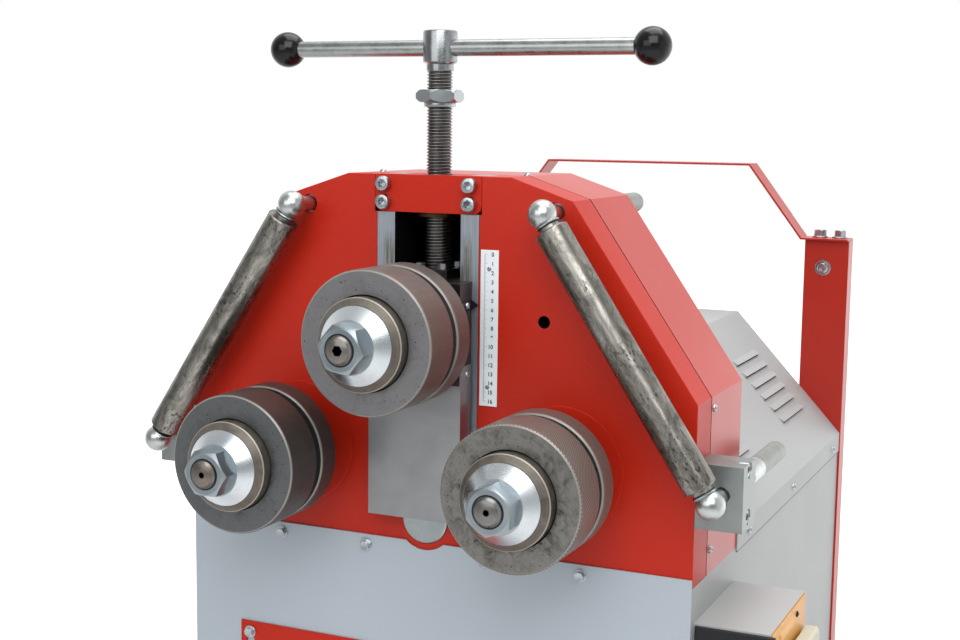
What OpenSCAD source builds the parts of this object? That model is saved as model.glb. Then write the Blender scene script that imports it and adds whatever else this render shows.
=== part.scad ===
// Angle roll bender: three-roll bending head on a floor cabinet.
// Millimetres, +Z up, the operator stands on the -Y side.
// The origin is on the floor at the centre of the floor plate.
// Head coordinates start where the lower roll axes meet the front face of the front plate.

/* [Stand] */
// Height of the lower roll axes above the floor
axis_height = 920; // [880:5:1000]
// Width of the cabinet and of the bending head
cabinet_w = 620; // [600:2:660]
// Depth of the cabinet from the front plate face to the rear posts
cabinet_d = 760; // [730:5:860]
// Sheet thickness of the cabinet shell
shell_t = 3; // [2:0.5:4]
// Sheet thickness of the front panel and of the access panel
panel_t = 2; // [1.5:0.5:2.5]
// Thickness of the floor plate
base_t = 12; // [8:1:20]
// Reach of the floor plate past each cabinet side
base_wing = 40; // [30:1:60]
// Reach of the floor plate past the front panel and the rear posts
base_lip = 14; // [10:1:30]
// Diameter of the floor anchor holes
anchor_d = 14; // [10:1:18]
// Distance of the anchor holes from the front and rear edges of the floor plate
anchor_inset = 60; // [40:1:100]
// Width of the square tubes of the inner frame
tube_w = 40; // [30:1:50]
// Width of the access panel
access_w = 488; // [440:2:520]
// Height of the access panel
access_h = 420; // [360:5:500]
// Top edge of the access panel below the lower roll axes
access_drop = 227; // [210:1:260]

/* [Bending head] */
// Thickness of the front plate
plate_t = 51; // [47:1:58]
// Height of the head above the lower roll axes
head_top = 310; // [304:1:320]
// Width of the flat top of the head
top_flat_w = 198; // [180:2:220]
// Width of the head at the foot of its upper bevel
shoulder_w = 338; // [330:2:350]
// Height of that foot above the lower roll axes
shoulder_top = 287; // [284:1:292]
// Height of the vertical sides above the lower roll axes
side_top = 84; // [70:1:100]
// Width of the carriage slot
slot_w = 124; // [120:1:130]
// Width of each guide rail
rail_w = 22; // [18:0.5:24]
// Width of the bridge across the slot
bridge_w = 129; // [126:0.5:136]
// Height of the bridge across the slot
bridge_h = 41; // [36:1:44]
// Depth of the bridge wings in front of the rails
bridge_wing = 22; // [16:0.5:26]
// Radius of the lower corners of the bridge
bridge_r = 10; // [6:0.5:15]
// Sheet thickness of the head cover
cover_t = 2; // [1.5:0.5:3]
// Diameter of the accessory hole in the front plate
accessory_d = 13; // [10:0.5:18]
// Accessory hole sideways from the middle
accessory_x = 139; // [130:1:150]
// Accessory hole above the lower roll axes
accessory_z = 158; // [150:1:170]

/* [Rolls] */
// Outside diameter of the roll rings
roll_d = 152; // [140:0.5:156]
// Distance between the two lower roll axes, as a share of the width of the head
roll_pitch_share = 0.5242; // [0.51:0.001:0.536]
// Height of the upper roll axis above the lower ones
upper_z = 143; // [135:0.5:150]
// Gap between the front plate and the rear rings
roll_gap = 48; // [44:0.5:60]
// Width of the rear ring
rear_ring_w = 30; // [24:0.5:40]
// Width of the groove for the leg of the angle
groove_w = 10; // [6:0.5:16]
// Width of the front ring
front_ring_w = 52; // [40:0.5:60]
// Edge chamfer of the rings
ring_chamfer = 2; // [0.5:0.1:4]
// Diameter of the hub sleeve that carries the rings
hub_d = 98; // [92:0.5:110]
// How far the hub sleeve stands out of the front ring
hub_proud = 18.5; // [14:0.5:22]
// Length of the bevel at the front of the hub sleeve
hub_bevel = 7; // [4:0.5:10]
// Diameter of the clamp cone at the hub sleeve
cone_d = 82; // [70:0.5:88]
// Length of the clamp cone
cone_h = 12.5; // [8:0.5:18]
// Width across the flats of the clamp nut
nut_af = 46; // [41:0.5:50]
// Height of the clamp nut
nut_h = 20; // [16:0.5:26]
// Thread diameter of the roll shafts
shaft_thread_d = 30; // [26:0.5:33]
// Shaft diameter inside the hub sleeves
shaft_seat_d = 44; // [40:0.5:50]

/* [Drive] */
// Drive shaft axis below the lower roll axes
drive_drop = 74; // [70:0.5:80]
// Teeth of the drive pinion
pinion_teeth = 20; // [19:1:24]
// Teeth of each roll gear
gear_teeth = 31; // [28:1:34]
// Face width of the gears
gear_w = 30; // [24:1:36]
// Diameter of the drive shaft under the pinion
drive_d = 40; // [36:0.5:46]
// Thickness of the rear wall of the gear case
case_t = 20; // [18:1:26]

/* [Carriage and screw] */
// Reach of the carriage above the upper roll axis
carriage_up = 54; // [48:0.5:60]
// Reach of the carriage below the upper roll axis
carriage_down = 57; // [52:0.5:64]
// Thickness of the carriage flange in front of the rails
flange_t = 30; // [26:0.5:34]
// Thickness of the carriage flange behind the rails
back_flange_t = 38; // [32:0.5:44]
// How far the carriage flanges lap over each rail
flange_lap = 15; // [12:0.5:17]
// Length of the slide cover below the carriage
slide_cover_l = 152; // [130:1:170]
// Sheet thickness of the slide cover
slide_sheet_t = 1.2; // [1:0.1:2]
// Outside diameter of the lead screw thread
screw_d = 28.5; // [26:0.1:30]
// Height of the lead screw head top above the carriage
screw_rise = 269; // [255:1:290]
// Diameter of the lead screw head
screw_head_d = 37.5; // [34:0.5:42]
// Height of the lead screw head
screw_head_h = 34; // [30:0.5:40]
// Diameter of the sliding tommy bar
bar_d = 18; // [14:0.5:20]
// Distance between the knob centres on the tommy bar
bar_span = 436; // [380:2:480]
// Diameter of the bar knobs
knob_d = 40; // [34:1:46]
// Width across the flats of the stop nut
stop_af = 46; // [42:0.5:50]
// Height of the stop nut
stop_h = 13.5; // [10:0.5:16]
// Height of the washer under the stop nut
washer_h = 5; // [3:0.5:7]

/* [Side guides] */
// Upper guide rod sideways from the middle
guide_x = 150; // [146:0.5:154]
// Upper guide rod above the lower roll axes
guide_z = 274.5; // [270:0.5:276]
// Lower guide rod outside the side of the head
guide_out = 26.5; // [24:0.5:30]
// Lower guide rod below the lower roll axes
guide_low = 8; // [4:0.5:12]
// Roller axis in front of the front plate
guide_reach = 37; // [34:0.5:60]
// Diameter of the guide rods
rod_d = 20; // [19:0.5:22]
// Diameter of the ball ends
ball_d = 31; // [30:0.5:34]
// Diameter of the guide roller tube
roller_d = 36; // [32:0.5:40]
// Diameter of the roller spindle
spindle_d = 22; // [18:0.5:24]
// Distance from a ball centre to the end of the roller tube
roller_gap = 18; // [17:0.5:24]
// Reach of the upper guide rods behind the front plate face
upper_tail = 255; // [230:1:280]
// Reach of the lower guide rods behind the front plate face
lower_tail = 240; // [220:1:290]
// Width of the side blocks across the machine
block_w = 50; // [46:1:58]
// Depth of the side blocks along the rods
block_d = 48; // [44:1:52]
// Reach of the side blocks above the rod
block_up = 32.5; // [31:0.5:38]
// Reach of the side blocks below the rod
block_down = 36.5; // [35:0.5:42]

/* [Rear covers] */
// Sheet thickness of the motor hood
hood_t = 1.5; // [1:0.1:2.5]
// Width of the flat top of the motor hood
hood_flat_w = 300; // [270:1:320]
// Height of the motor hood above the lower roll axes
hood_top = 86.5; // [80:0.5:100]
// Foot of the hood slope below the lower roll axes
hood_foot = 87.5; // [80:0.5:92]
// Height of the upright hood flange
hood_flange_h = 27; // [24:0.5:36]
// Louvres in each group
louvre_n = 6; // [4:1:7]
// Length of a louvre
louvre_l = 122; // [100:1:150]
// Width of the rear posts
post_w = 65; // [50:1:80]
// Depth of the rear posts
post_d = 32; // [25:1:45]
// Top of the rear posts above the lower roll axes
post_top = 201; // [180:1:230]
// Thickness of the arch bar
arch_t = 3; // [2.5:0.5:6]
// Width of the straight top of the arch bar
arch_flat_w = 323; // [300:1:360]
// Height of the arch bar above the lower roll axes
arch_top = 311.5; // [295:0.5:340]

/* [Control box] */
// Reach of the control box past the cabinet side
box_w = 81; // [60:1:100]
// Depth of the control box along the cabinet
box_d = 160; // [150:1:200]
// Height of the control box
box_h = 260; // [220:1:320]
// Top of the control box below the lower roll axes
box_drop = 149; // [130:1:170]
// Side of the square switch plate
switch_plate_w = 153; // [120:1:154]
// Diameter of the switch knob base
switch_d = 62; // [50:1:80]

/* [Hidden] */
$fn = 72;

// Colours
red = "#B92B26";
panel_grey = "#B2BBC5";
light_grey = "#C9CDD0";
cover_grey = "#828488";
steel = "#8E8F90";
dark_steel = "#5F5753";
zinc = "#BFC9D0";
black = "#1C1C1E";
bronze = "#8A6A3C";
amber = "#E0A020";

// Clearances and overrun of the cuts
over = 1;
fit_gap = 0.05;
slide_gap = 0.3;
rail_gap = 0.1;
seam_gap = 1.2;

// Floor plate
base_w = cabinet_w + 2 * base_wing;
base_d = cabinet_d + post_d + 2 * base_lip;
anchor_x = (cabinet_w + base_wing) / 2;
anchor_y = base_d / 2 - anchor_inset;
head_y = -base_d / 2 + base_lip;
base_top = base_t - axis_height;
half_w = cabinet_w / 2;
inner_x = half_w - shell_t;

// Bearings: outside diameter, bore and width
lower_bearing_d = 110;
lower_bearing_bore = 60;
lower_bearing_w = 22;
lower_bearing = [lower_bearing_d, lower_bearing_bore, lower_bearing_w];
tail_bearing_d = 90;
tail_bearing_bore = 50;
tail_bearing_w = 20;
tail_bearing = [tail_bearing_d, tail_bearing_bore, tail_bearing_w];
upper_bearing_d = 80;
upper_bearing_bore = 40;
upper_bearing_w = 18;
upper_bearing = [upper_bearing_d, upper_bearing_bore, upper_bearing_w];
drive_bearing_d = 55;
drive_bearing_bore = 30;
drive_bearing_w = 13;
drive_bearing = [drive_bearing_d, drive_bearing_bore, drive_bearing_w];
race_share = 0.22;
shield_depth = 1;

// Head outline
roll_pitch = cabinet_w * roll_pitch_share;
drive_wall = 8.5;
plate_bottom = -(drive_drop + drive_bearing[0] / 2 + drive_wall);
slot_spare = 31;
travel_down = 60;
slot_floor = upper_z - carriage_down - travel_down - slot_spare;
bridge_z = head_top - bridge_h;
bridge_gap = 0.2;
screw_offset = 2.5;
screw_y = plate_t / 2 + screw_offset;
lead_nut_d = 36;
lead_nut_flange_d = 48;
lead_nut_flange_h = 5;
cap_d = 140;
cap_t = 2;
cap_chamfer = 0.6;
drive_cap_proud = 3;
drive_cap_depth = 12;
drive_bearing_inset = 20;
lower_bearing_inset = 14;

// Scale strip on the front plate
strip_gap = 3;
strip_x = slot_w / 2 + strip_gap;
strip_w = 21;
strip_t = 1.2;
strip_low = 62;
strip_high = 232;

// Carriage
web_x = slot_w / 2 - rail_w - rail_gap;
flange_x = web_x + flange_lap;
carriage_top = upper_z + carriage_up;
carriage_low = upper_z - carriage_down;
back_y0 = plate_t + slide_gap;
back_y1 = back_y0 + back_flange_t;
web_bore_d = 48;
flange_chamfer = 3;
retainer_t = 10;
retainer_w = 44;
retainer_d = 48;
collar_d = 34;
collar_h = 14.7;
tab_rise = 21;
slide_flange_back = 4;
pointer_rise = 29;
pointer_h = 12;
pointer_t = 1.2;
pointer_back = 3;
pointer_tip = 1;

// Lead screw, counted down from its top
screw_top = carriage_top + screw_rise;
screw_neck_h = 7;
screw_chamfer = 2.5;
bar_drop = 19;
bar_shift = 24;
knob_gap = 0.1;
stop_drop = 64;
washer_d = 35;
stop_chamfer = 4;
stop_turn = 32;

// Roll stations, counted forward from the front plate
rear_ring_y1 = -roll_gap;
rear_ring_y0 = rear_ring_y1 - rear_ring_w;
front_ring_y1 = rear_ring_y0 - groove_w;
front_ring_y0 = front_ring_y1 - front_ring_w;
hub_y0 = front_ring_y0 - hub_proud;
nut_y1 = hub_y0 - cone_h;
nut_y0 = nut_y1 - nut_h;
shaft_proud = 4;
shaft_y0 = nut_y0 - shaft_proud;
thread_depth = 12;
shaft_chamfer = 2.5;
flange_ring_t = 8;
lower_flange_d = 120;
upper_flange_d = 70;
collar_gap_d = 80;
nut_shoulder_d = 56;
nut_chamfer = 3;
nut_face_d = 43;
hub_land = 1;
upper_nut_turn = 9;
left_nut_turn = 0;
right_nut_turn = 36;
socket_af = 10;
socket_depth = 8;
centre_hole_d = 6.5;
bore_chamfer = 1.5;

// Gears: the centre distance sets the module
gear_gap = 9;
gear_y0 = back_y1 + gear_gap;
gear_y1 = gear_y0 + gear_w;
case_gap = 11.7;
case_y0 = gear_y1 + case_gap;
case_y1 = case_y0 + case_t;
centre_distance = norm([roll_pitch / 2, drive_drop]);
gear_module = 2 * centre_distance / (pinion_teeth + gear_teeth);
gear_outer_r = gear_module * (gear_teeth / 2 + 1);
pressure_angle = 20;
dedendum_share = 1.25;
backlash = 0.3;
flank_steps = 4;
mesh_angle = atan2(drive_drop, roll_pitch / 2);
pinion_phase = 90;

// Gear case and head cover
case_arch_x = 110;
case_arch_z = 150;
case_shoulder_z = 40;
leg_w = 28;
case_half_w = roll_pitch / 2 + gear_outer_r + leg_w / 2;
cover_gap = 11.6;
cover_y0 = plate_t + seam_gap;
cover_y1 = case_y1 + cover_gap + cover_t;
shaft_tail = 5;

// Gear motor on the drive axis
gear_unit_gap = 12;
gear_unit_y0 = cover_y1 + gear_unit_gap;
gear_unit_l = 140;
gear_unit_d = 160;
gear_unit_flange_d = 178;
gear_unit_flange_t = 14;
hollow_shaft_l = 90;
motor_l = 210;
motor_d = 136;
motor_cowl_l = 55;
motor_cowl_d = 148;
fin_n = 24;
fin_t = 3;
fin_h = 5;
foot_w = 150;
foot_wall = 12;
axis_over_shelf = 100;
shelf_z = -drive_drop - axis_over_shelf;
shelf_t = 8;

// Motor hood
hood_y0 = cover_y1;
hood_half = half_w + hood_t;
shell_lap = 20;
shell_top = -hood_foot - hood_flange_h + shell_lap;
louvre_run = 10;
louvre_rise = 4;
louvre_first_share = 0.311;
louvre_last_share = 0.736;
louvre_rear_gap = 70;
louvre_group_gap = 188;

// Rear posts and arch
post_wall = 3;
arch_w = 44;
post_out = 3;
post_x1 = half_w + post_out;
post_x0 = post_x1 - post_w;
arch_foot_in = 5;

// Front panel cut-outs and keyholes
panel_lap = 10;
panel_cut_r = 35;
access_lap = 24;
keyhole_inset = 13;
keyhole_d = 11;
keyhole_slot_w = 6;
keyhole_slot_l = 9;

// Side guides
low_x = half_w + guide_out;
rod_clear_gap = 1;
rod_chamfer = 2;
neck_d = 17;
neck_back = 6;
sleeve_d = 24;
sleeve_gap = 46;
sleeve_y0 = plate_t + sleeve_gap;
rod_clear_d = sleeve_d + 2 * rod_clear_gap;
block_screw_d = 11;
block_head_d = 17;
block_head_h = 11;
block_screw_up = 25;
block_screw_down = 24;

// Control box
box_front = 10;
box_t = 2;
switch_plate_t = 2;
switch_plate_drop = 2;
switch_base_h = 8;
switch_grip_w = 14;
switch_grip_h = 20;
switch_grip_share = 0.92;
switch_pin_d = 12;
switch_pin_l = 9;

// Outlines
function unit(v) = v / norm(v);
function turned_left(v) = [-v[1], v[0]];

// Corner of an outline moved inwards by t, with a before it and c after it
function inset_corner(a, b, c, t) =
  let (n1 = turned_left(unit(b - a)), n2 = turned_left(unit(c - b)))
  b + t * (n1 + n2) / (1 + n1 * n2);

// Counter-clockwise outline moved inwards by t
function inset(outline, t) =
  let (n = len(outline))
  [for (i = [0 : n - 1]) inset_corner(outline[(i + n - 1) % n], outline[i], outline[(i + 1) % n], t)];

function mirrored_points(points) = [for (i = [len(points) - 1 : -1 : 0]) [-points[i][0], points[i][1]]];

function head_outline(low) =
  let (
    side = [[half_w, low], [half_w, side_top]],
    bevel = [[shoulder_w / 2, shoulder_top], [top_flat_w / 2, head_top]],
    right = concat(side, bevel)
  )
  concat(right, mirrored_points(right));

function hood_outline(low) =
  let (right = [[hood_half, low], [hood_half, -hood_foot], [hood_flat_w / 2, hood_top]])
  concat(right, mirrored_points(right));

function case_outline() =
  let (right = [[case_half_w, plate_bottom], [case_half_w, case_shoulder_z], [case_arch_x, case_arch_z]])
  concat(right, mirrored_points(right));

// Involute gears
function involute(angle) = tan(angle) * 180 / PI - angle;

function tooth_half_angle(r, base_r, half_at_pitch) =
  half_at_pitch + involute(pressure_angle) - involute(acos(min(1, base_r / max(r, base_r))));

function polar(r, angle) = r * [cos(angle), sin(angle)];

function gear_outline(teeth, phase) =
  let (
    pitch_r = gear_module * teeth / 2,
    base_r = pitch_r * cos(pressure_angle),
    tip_r = pitch_r + gear_module,
    root_r = pitch_r - dedendum_share * gear_module,
    half_at_pitch = 90 / teeth - backlash / 4 / pitch_r * 180 / PI,
    radii = concat([root_r], [for (i = [0 : flank_steps]) base_r + (tip_r - base_r) * i / flank_steps])
  )
  [
    for (k = [0 : teeth - 1])
      let (middle = phase + 360 * k / teeth)
      each concat(
        [for (r = radii) polar(r, middle - tooth_half_angle(r, base_r, half_at_pitch))],
        [for (i = [len(radii) - 1 : -1 : 0])
          polar(radii[i], middle + tooth_half_angle(radii[i], base_r, half_at_pitch))]
      )
  ];

// Phase that puts a gear's tooth space over the pinion tooth, with the gear seen at this angle
function gear_phase(angle) =
  angle + 180 + 180 / gear_teeth - (pinion_phase - angle) * pinion_teeth / gear_teeth;

// Placing and basic shapes
module in_head() {
  translate([0, head_y, axis_height]) children();
}

module both_sides() {
  children();
  mirror([1, 0, 0]) children();
}

module block(low, high) {
  translate(low) cube(high - low);
}

// Round bar along Y at a place [x, z]
module y_bar(d, y0, y1, place) {
  translate([place[0], y0, place[1]]) rotate([-90, 0, 0]) cylinder(d = d, h = y1 - y0);
}

module y_bore(d, y0, y1, place) {
  y_bar(d, y0 - over, y1 + over, place);
}

module x_bar(d, x0, x1, place) {
  translate([x0, place[0], place[1]]) rotate([0, 90, 0]) cylinder(d = d, h = x1 - x0);
}

module z_bar(d, z0, z1, place) {
  translate([place[0], place[1], z0]) cylinder(d = d, h = z1 - z0);
}

// Outline in X and Z drawn along Y
module y_extrude(y0, y1) {
  translate([0, y1, 0]) rotate([90, 0, 0]) linear_extrude(y1 - y0) children();
}

// Profile of [radius, y] points turned about the Y axis through [x, z]
module y_turned(profile, place) {
  translate([place[0], 0, place[1]]) rotate([-90, 0, 0]) rotate_extrude() polygon(profile);
}

// Profile of [radius, z] points turned about the Z axis through [x, y]
module z_turned(profile, place) {
  translate([place[0], place[1], 0]) rotate_extrude() polygon(profile);
}

function ring_profile(d, bore, y0, y1, chamfer) = [
  [bore / 2 + bore_chamfer, y0],
  [d / 2 - chamfer, y0],
  [d / 2, y0 + chamfer],
  [d / 2, y1 - chamfer],
  [d / 2 - chamfer, y1],
  [bore / 2 + bore_chamfer, y1],
  [bore / 2, y1 - bore_chamfer],
  [bore / 2, y0 + bore_chamfer]
];

// Sealed bearing: two races with a recessed shield between them
function bearing_profile(size, y0) =
  let (
    outer = size[0] / 2 - fit_gap,
    inner = size[1] / 2 + fit_gap,
    race = (outer - inner) * race_share,
    y1 = y0 + size[2]
  ) [
    [inner, y0], [inner + race, y0], [inner + race, y0 + shield_depth],
    [outer - race, y0 + shield_depth], [outer - race, y0], [outer, y0],
    [outer, y1], [outer - race, y1], [outer - race, y1 - shield_depth],
    [inner + race, y1 - shield_depth], [inner + race, y1], [inner, y1]
  ];

lower_place = [roll_pitch / 2, 0];
left_place = [-roll_pitch / 2, 0];
upper_place = [0, upper_z];
drive_place = [0, -drive_drop];
screw_place = [0, screw_y];
guide_place = [guide_x, guide_z];
low_place = [low_x, -guide_low];

// Stand
module base_plate() {
  color(cover_grey)
  difference() {
    block([-base_w / 2, -base_d / 2, 0], [base_w / 2, base_d / 2, base_t]);
    for (x = [-anchor_x, anchor_x], y = [-anchor_y, anchor_y])
      z_bar(anchor_d, -over, base_t + over, [x, y]);
  }
}

// Both sides and the rear as one folded sheet, lower where the head stands on it
module cabinet_shell() {
  color(light_grey)
  in_head()
  difference() {
    block([-half_w, 0, base_top], [half_w, cabinet_d, shell_top]);
    block([-inner_x, -over, base_top - over], [inner_x, cabinet_d - shell_t, shell_top + over]);
    block([-half_w - over, -over, plate_bottom], [half_w + over, cover_y1 + seam_gap, shell_top + over]);
  }
}

// Welded tube frame with the motor shelf
module cabinet_frame() {
  rail_low = plate_bottom - tube_w;
  rear_y = case_y0;
  color(cover_grey)
  in_head()
  union() {
    for (y = [0, rear_y]) {
      block([-inner_x, y, rail_low], [inner_x, y + tube_w, plate_bottom]);
      both_sides()
        block([inner_x - tube_w, y, base_top], [inner_x, y + tube_w, plate_bottom]);
    }
    both_sides()
      block([inner_x - tube_w, 0, rail_low], [inner_x, rear_y + tube_w, plate_bottom]);
    block([-inner_x, rear_y, shelf_z - shelf_t], [inner_x, cabinet_d - shell_t, shelf_z]);
  }
}

module front_panel() {
  access_low = -access_drop - access_h;
  color(panel_grey)
  in_head()
  difference() {
    block([-half_w, -panel_t, base_top], [half_w, 0, plate_bottom + panel_lap]);
    y_bore(2 * panel_cut_r, -panel_t, 0, drive_place);
    block(
      [access_lap - access_w / 2, -panel_t - over, access_low + access_lap],
      [access_w / 2 - access_lap, over, -access_drop - access_lap]
    );
  }
}

// Red panel that hangs on four screws by keyholes
module access_panel() {
  x = access_w / 2 - keyhole_inset;
  color(red)
  in_head()
  difference() {
    block([-access_w / 2, -2 * panel_t, -access_drop - access_h], [access_w / 2, -panel_t, -access_drop]);
    for (side = [-x, x], z = [-access_drop - keyhole_inset, keyhole_inset - access_drop - access_h]) {
      y_bore(keyhole_slot_w, -2 * panel_t, -panel_t, [side, z]);
      y_bore(keyhole_d, -2 * panel_t, -panel_t, [side, z - keyhole_slot_l]);
      block(
        [side - keyhole_slot_w / 2, -2 * panel_t - over, z - keyhole_slot_l],
        [side + keyhole_slot_w / 2, over - panel_t, z]
      );
    }
  }
}

// Bending head
module front_plate() {
  color(red)
  in_head()
  difference() {
    y_extrude(0, plate_t) polygon(head_outline(plate_bottom));
    block([-slot_w / 2, -over, slot_floor], [slot_w / 2, plate_t + over, head_top + over]);
    block(
      [-bridge_w / 2 - bridge_gap, -over, bridge_z - bridge_gap],
      [bridge_w / 2 + bridge_gap, bridge_wing + bridge_gap, head_top + over]
    );
    both_sides() {
      y_bore(lower_bearing[0], 0, plate_t, lower_place);
      y_bore(rod_d + 2 * fit_gap, 0, plate_t, guide_place);
    }
    y_bore(drive_bearing[0], 0, plate_t, drive_place);
    y_bore(accessory_d, 0, plate_t, [accessory_x, accessory_z]);
  }
}

// Rails lining the slot, notched at the top for the bridge wings
module guide_rails() {
  color(steel)
  in_head()
  both_sides()
  difference() {
    block([slot_w / 2 - rail_w, 0, slot_floor], [slot_w / 2, plate_t, head_top]);
    block(
      [slot_w / 2 - rail_w - over, -over, bridge_z - bridge_gap],
      [slot_w / 2 + over, bridge_wing + bridge_gap, head_top + over]
    );
  }
}

// Bridge: wings bolted to the rails and a block between the rails that holds the lead nut
module top_bridge() {
  core_x = slot_w / 2 - rail_w - rail_gap;
  low_x_in = bridge_w / 2 - bridge_r;
  color(red)
  in_head()
  difference() {
    union() {
      y_extrude(0, bridge_wing)
        union() {
          translate([-bridge_w / 2, bridge_z + bridge_r]) square([bridge_w, bridge_h - bridge_r]);
          translate([-low_x_in, bridge_z]) square([2 * low_x_in, bridge_h]);
          for (x = [-low_x_in, low_x_in])
            translate([x, bridge_z + bridge_r]) circle(r = bridge_r);
        }
      block([-core_x, 0, bridge_z], [core_x, plate_t, head_top]);
    }
    z_bar(lead_nut_d, bridge_z - over, head_top + over, screw_place);
  }
}

// Bronze nut pressed into the bridge from below
module lead_nut() {
  color(bronze)
  in_head()
  z_turned([
    [screw_d / 2 + fit_gap, bridge_z - lead_nut_flange_h],
    [lead_nut_flange_d / 2, bridge_z - lead_nut_flange_h],
    [lead_nut_flange_d / 2, bridge_z],
    [lead_nut_d / 2 - fit_gap, bridge_z],
    [lead_nut_d / 2 - fit_gap, head_top],
    [screw_d / 2 + fit_gap, head_top]
  ], screw_place);
}

module scale_strip() {
  color(light_grey)
  in_head()
  block([strip_x, -strip_t, strip_low], [strip_x + strip_w, 0, strip_high]);
}

// Covers on the lower bearings, with a running gap around the shaft collars
module bearing_caps() {
  bore = collar_gap_d + 2 * slide_gap;
  color(red)
  in_head()
  both_sides()
  y_turned([
    [bore / 2, -cap_t],
    [cap_d / 2 - cap_chamfer, -cap_t],
    [cap_d / 2, cap_chamfer - cap_t],
    [cap_d / 2, 0],
    [bore / 2, 0]
  ], lower_place);
}

// Turned plug over the front end of the drive shaft
module drive_cap() {
  r = drive_bearing[0] / 2 - fit_gap;
  color(zinc)
  in_head()
  y_turned([
    [0, -drive_cap_proud],
    [r - bore_chamfer, -drive_cap_proud],
    [r, bore_chamfer - drive_cap_proud],
    [r, drive_cap_depth],
    [0, drive_cap_depth]
  ], drive_place);
}

module frame_bearings() {
  color(steel)
  in_head() {
    both_sides() {
      y_turned(bearing_profile(lower_bearing, lower_bearing_inset), lower_place);
      y_turned(bearing_profile(tail_bearing, case_y0), lower_place);
    }
    y_turned(bearing_profile(drive_bearing, drive_bearing_inset), drive_place);
    y_turned(bearing_profile(drive_bearing, case_y0), drive_place);
  }
}

// Rear bearing wall on four legs that reach the front plate
module gear_case() {
  leg_x = case_half_w - leg_w;
  color(cover_grey)
  in_head()
  difference() {
    union() {
      y_extrude(case_y0, case_y1) polygon(case_outline());
      both_sides() {
        block([leg_x, plate_t, plate_bottom], [case_half_w, case_y1, plate_bottom + leg_w]);
        block([case_arch_x - leg_w, plate_t, case_arch_z - leg_w], [case_arch_x, case_y1, case_arch_z]);
      }
    }
    both_sides()
      y_bore(tail_bearing[0], case_y0, case_y1, lower_place);
    y_bore(drive_bearing[0], case_y0, case_y1, drive_place);
  }
}

// Sheet cover behind the front plate, open to the front and to the cabinet
module head_cover() {
  open_low = plate_bottom - cover_t - over;
  color(red)
  in_head()
  difference() {
    y_extrude(cover_y0, cover_y1) polygon(head_outline(plate_bottom));
    y_extrude(cover_y0 - over, cover_y1 - cover_t) polygon(inset(head_outline(open_low), cover_t));
    both_sides()
      y_bore(rod_clear_d, cover_y1 - cover_t, cover_y1, guide_place);
    y_bore(drive_d, cover_y1 - cover_t, cover_y1, drive_place);
  }
}

// Gear motor under the hood
module gearbox() {
  y1 = gear_unit_y0 + gear_unit_l;
  r = gear_unit_d / 2;
  flange_y = gear_unit_y0 + gear_unit_flange_t;
  color(cover_grey)
  in_head()
  difference() {
    union() {
      y_turned([
        [0, gear_unit_y0],
        [gear_unit_flange_d / 2, gear_unit_y0],
        [gear_unit_flange_d / 2, flange_y],
        [r, flange_y],
        [r, y1],
        [0, y1]
      ], drive_place);
      block([-foot_w / 2, flange_y, shelf_z], [foot_w / 2, y1, shelf_z + foot_wall]);
      block([-foot_w / 4, flange_y, shelf_z], [foot_w / 4, y1, -drive_drop]);
    }
    y_bar(drive_bearing[1] + 2 * fit_gap, gear_unit_y0 - over, gear_unit_y0 + hollow_shaft_l, drive_place);
  }
}

module motor() {
  y0 = gear_unit_y0 + gear_unit_l;
  y1 = y0 + motor_l;
  y2 = y1 + motor_cowl_l;
  color(cover_grey)
  in_head()
  union() {
    y_turned([
      [0, y0],
      [motor_d / 2, y0],
      [motor_d / 2, y1],
      [motor_cowl_d / 2, y1],
      [motor_cowl_d / 2, y2 - fin_h],
      [motor_cowl_d / 2 - fin_h, y2],
      [0, y2]
    ], drive_place);
    for (k = [0 : fin_n - 1])
      translate([0, 0, -drive_drop])
        rotate([0, 360 * k / fin_n, 0])
          block([motor_d / 2 - fin_h, y0 + fin_h, -fin_t / 2], [motor_d / 2 + fin_h, y1 + over, fin_t / 2]);
  }
}

// Folded sheet hood with pressed louvres on both slopes
module motor_hood() {
  low = -hood_foot - hood_flange_h;
  open_low = low - hood_t - over;
  color(light_grey)
  in_head()
  difference() {
    union() {
      difference() {
        y_extrude(hood_y0, cabinet_d) polygon(hood_outline(low));
        y_extrude(hood_y0 - over, cabinet_d - hood_t) polygon(inset(hood_outline(open_low), hood_t));
        // the upright flange laps over the shell, whose rear wall stands inside it
        block([-half_w, hood_y0 - over, low - over], [half_w, cabinet_d + over, shell_top]);
      }
      each_louvre() louvre_skin(louvre_l, 0);
    }
    each_louvre() louvre_skin(louvre_l - 2 * hood_t, hood_t);
  }
}

// Places a louvre's own frame on the slope: X down the slope, Z outwards
module each_louvre() {
  top = [hood_flat_w / 2, hood_top];
  slope = [hood_half, -hood_foot] - top;
  fall = atan2(-slope[1], slope[0]);
  rear_y = cabinet_d - louvre_rear_gap - louvre_l / 2;
  for (group = [0, 1], k = [0 : louvre_n - 1]) {
    share = louvre_first_share + (louvre_last_share - louvre_first_share) * k / (louvre_n - 1);
    place = top + share * slope;
    both_sides()
      translate([place[0], rear_y - group * (louvre_l + louvre_group_gap), place[1]])
        rotate([0, fall, 0])
          children();
  }
}

// Wedge of a louvre, or the hollow inside it where inside is the sheet thickness
module louvre_skin(length, inside) {
  back = inside == 0 ? hood_t / 2 : hood_t + over;
  front = inside == 0 ? 0 : over;
  rise = louvre_rise - inside;
  run = louvre_run - 2 * inside;
  translate([0, length / 2, 0])
    rotate([90, 0, 0])
      linear_extrude(length)
        polygon([[-run, -back], [0, -back], [front, -back], [front, rise], [0, rise], [-run, 0]]);
}

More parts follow.
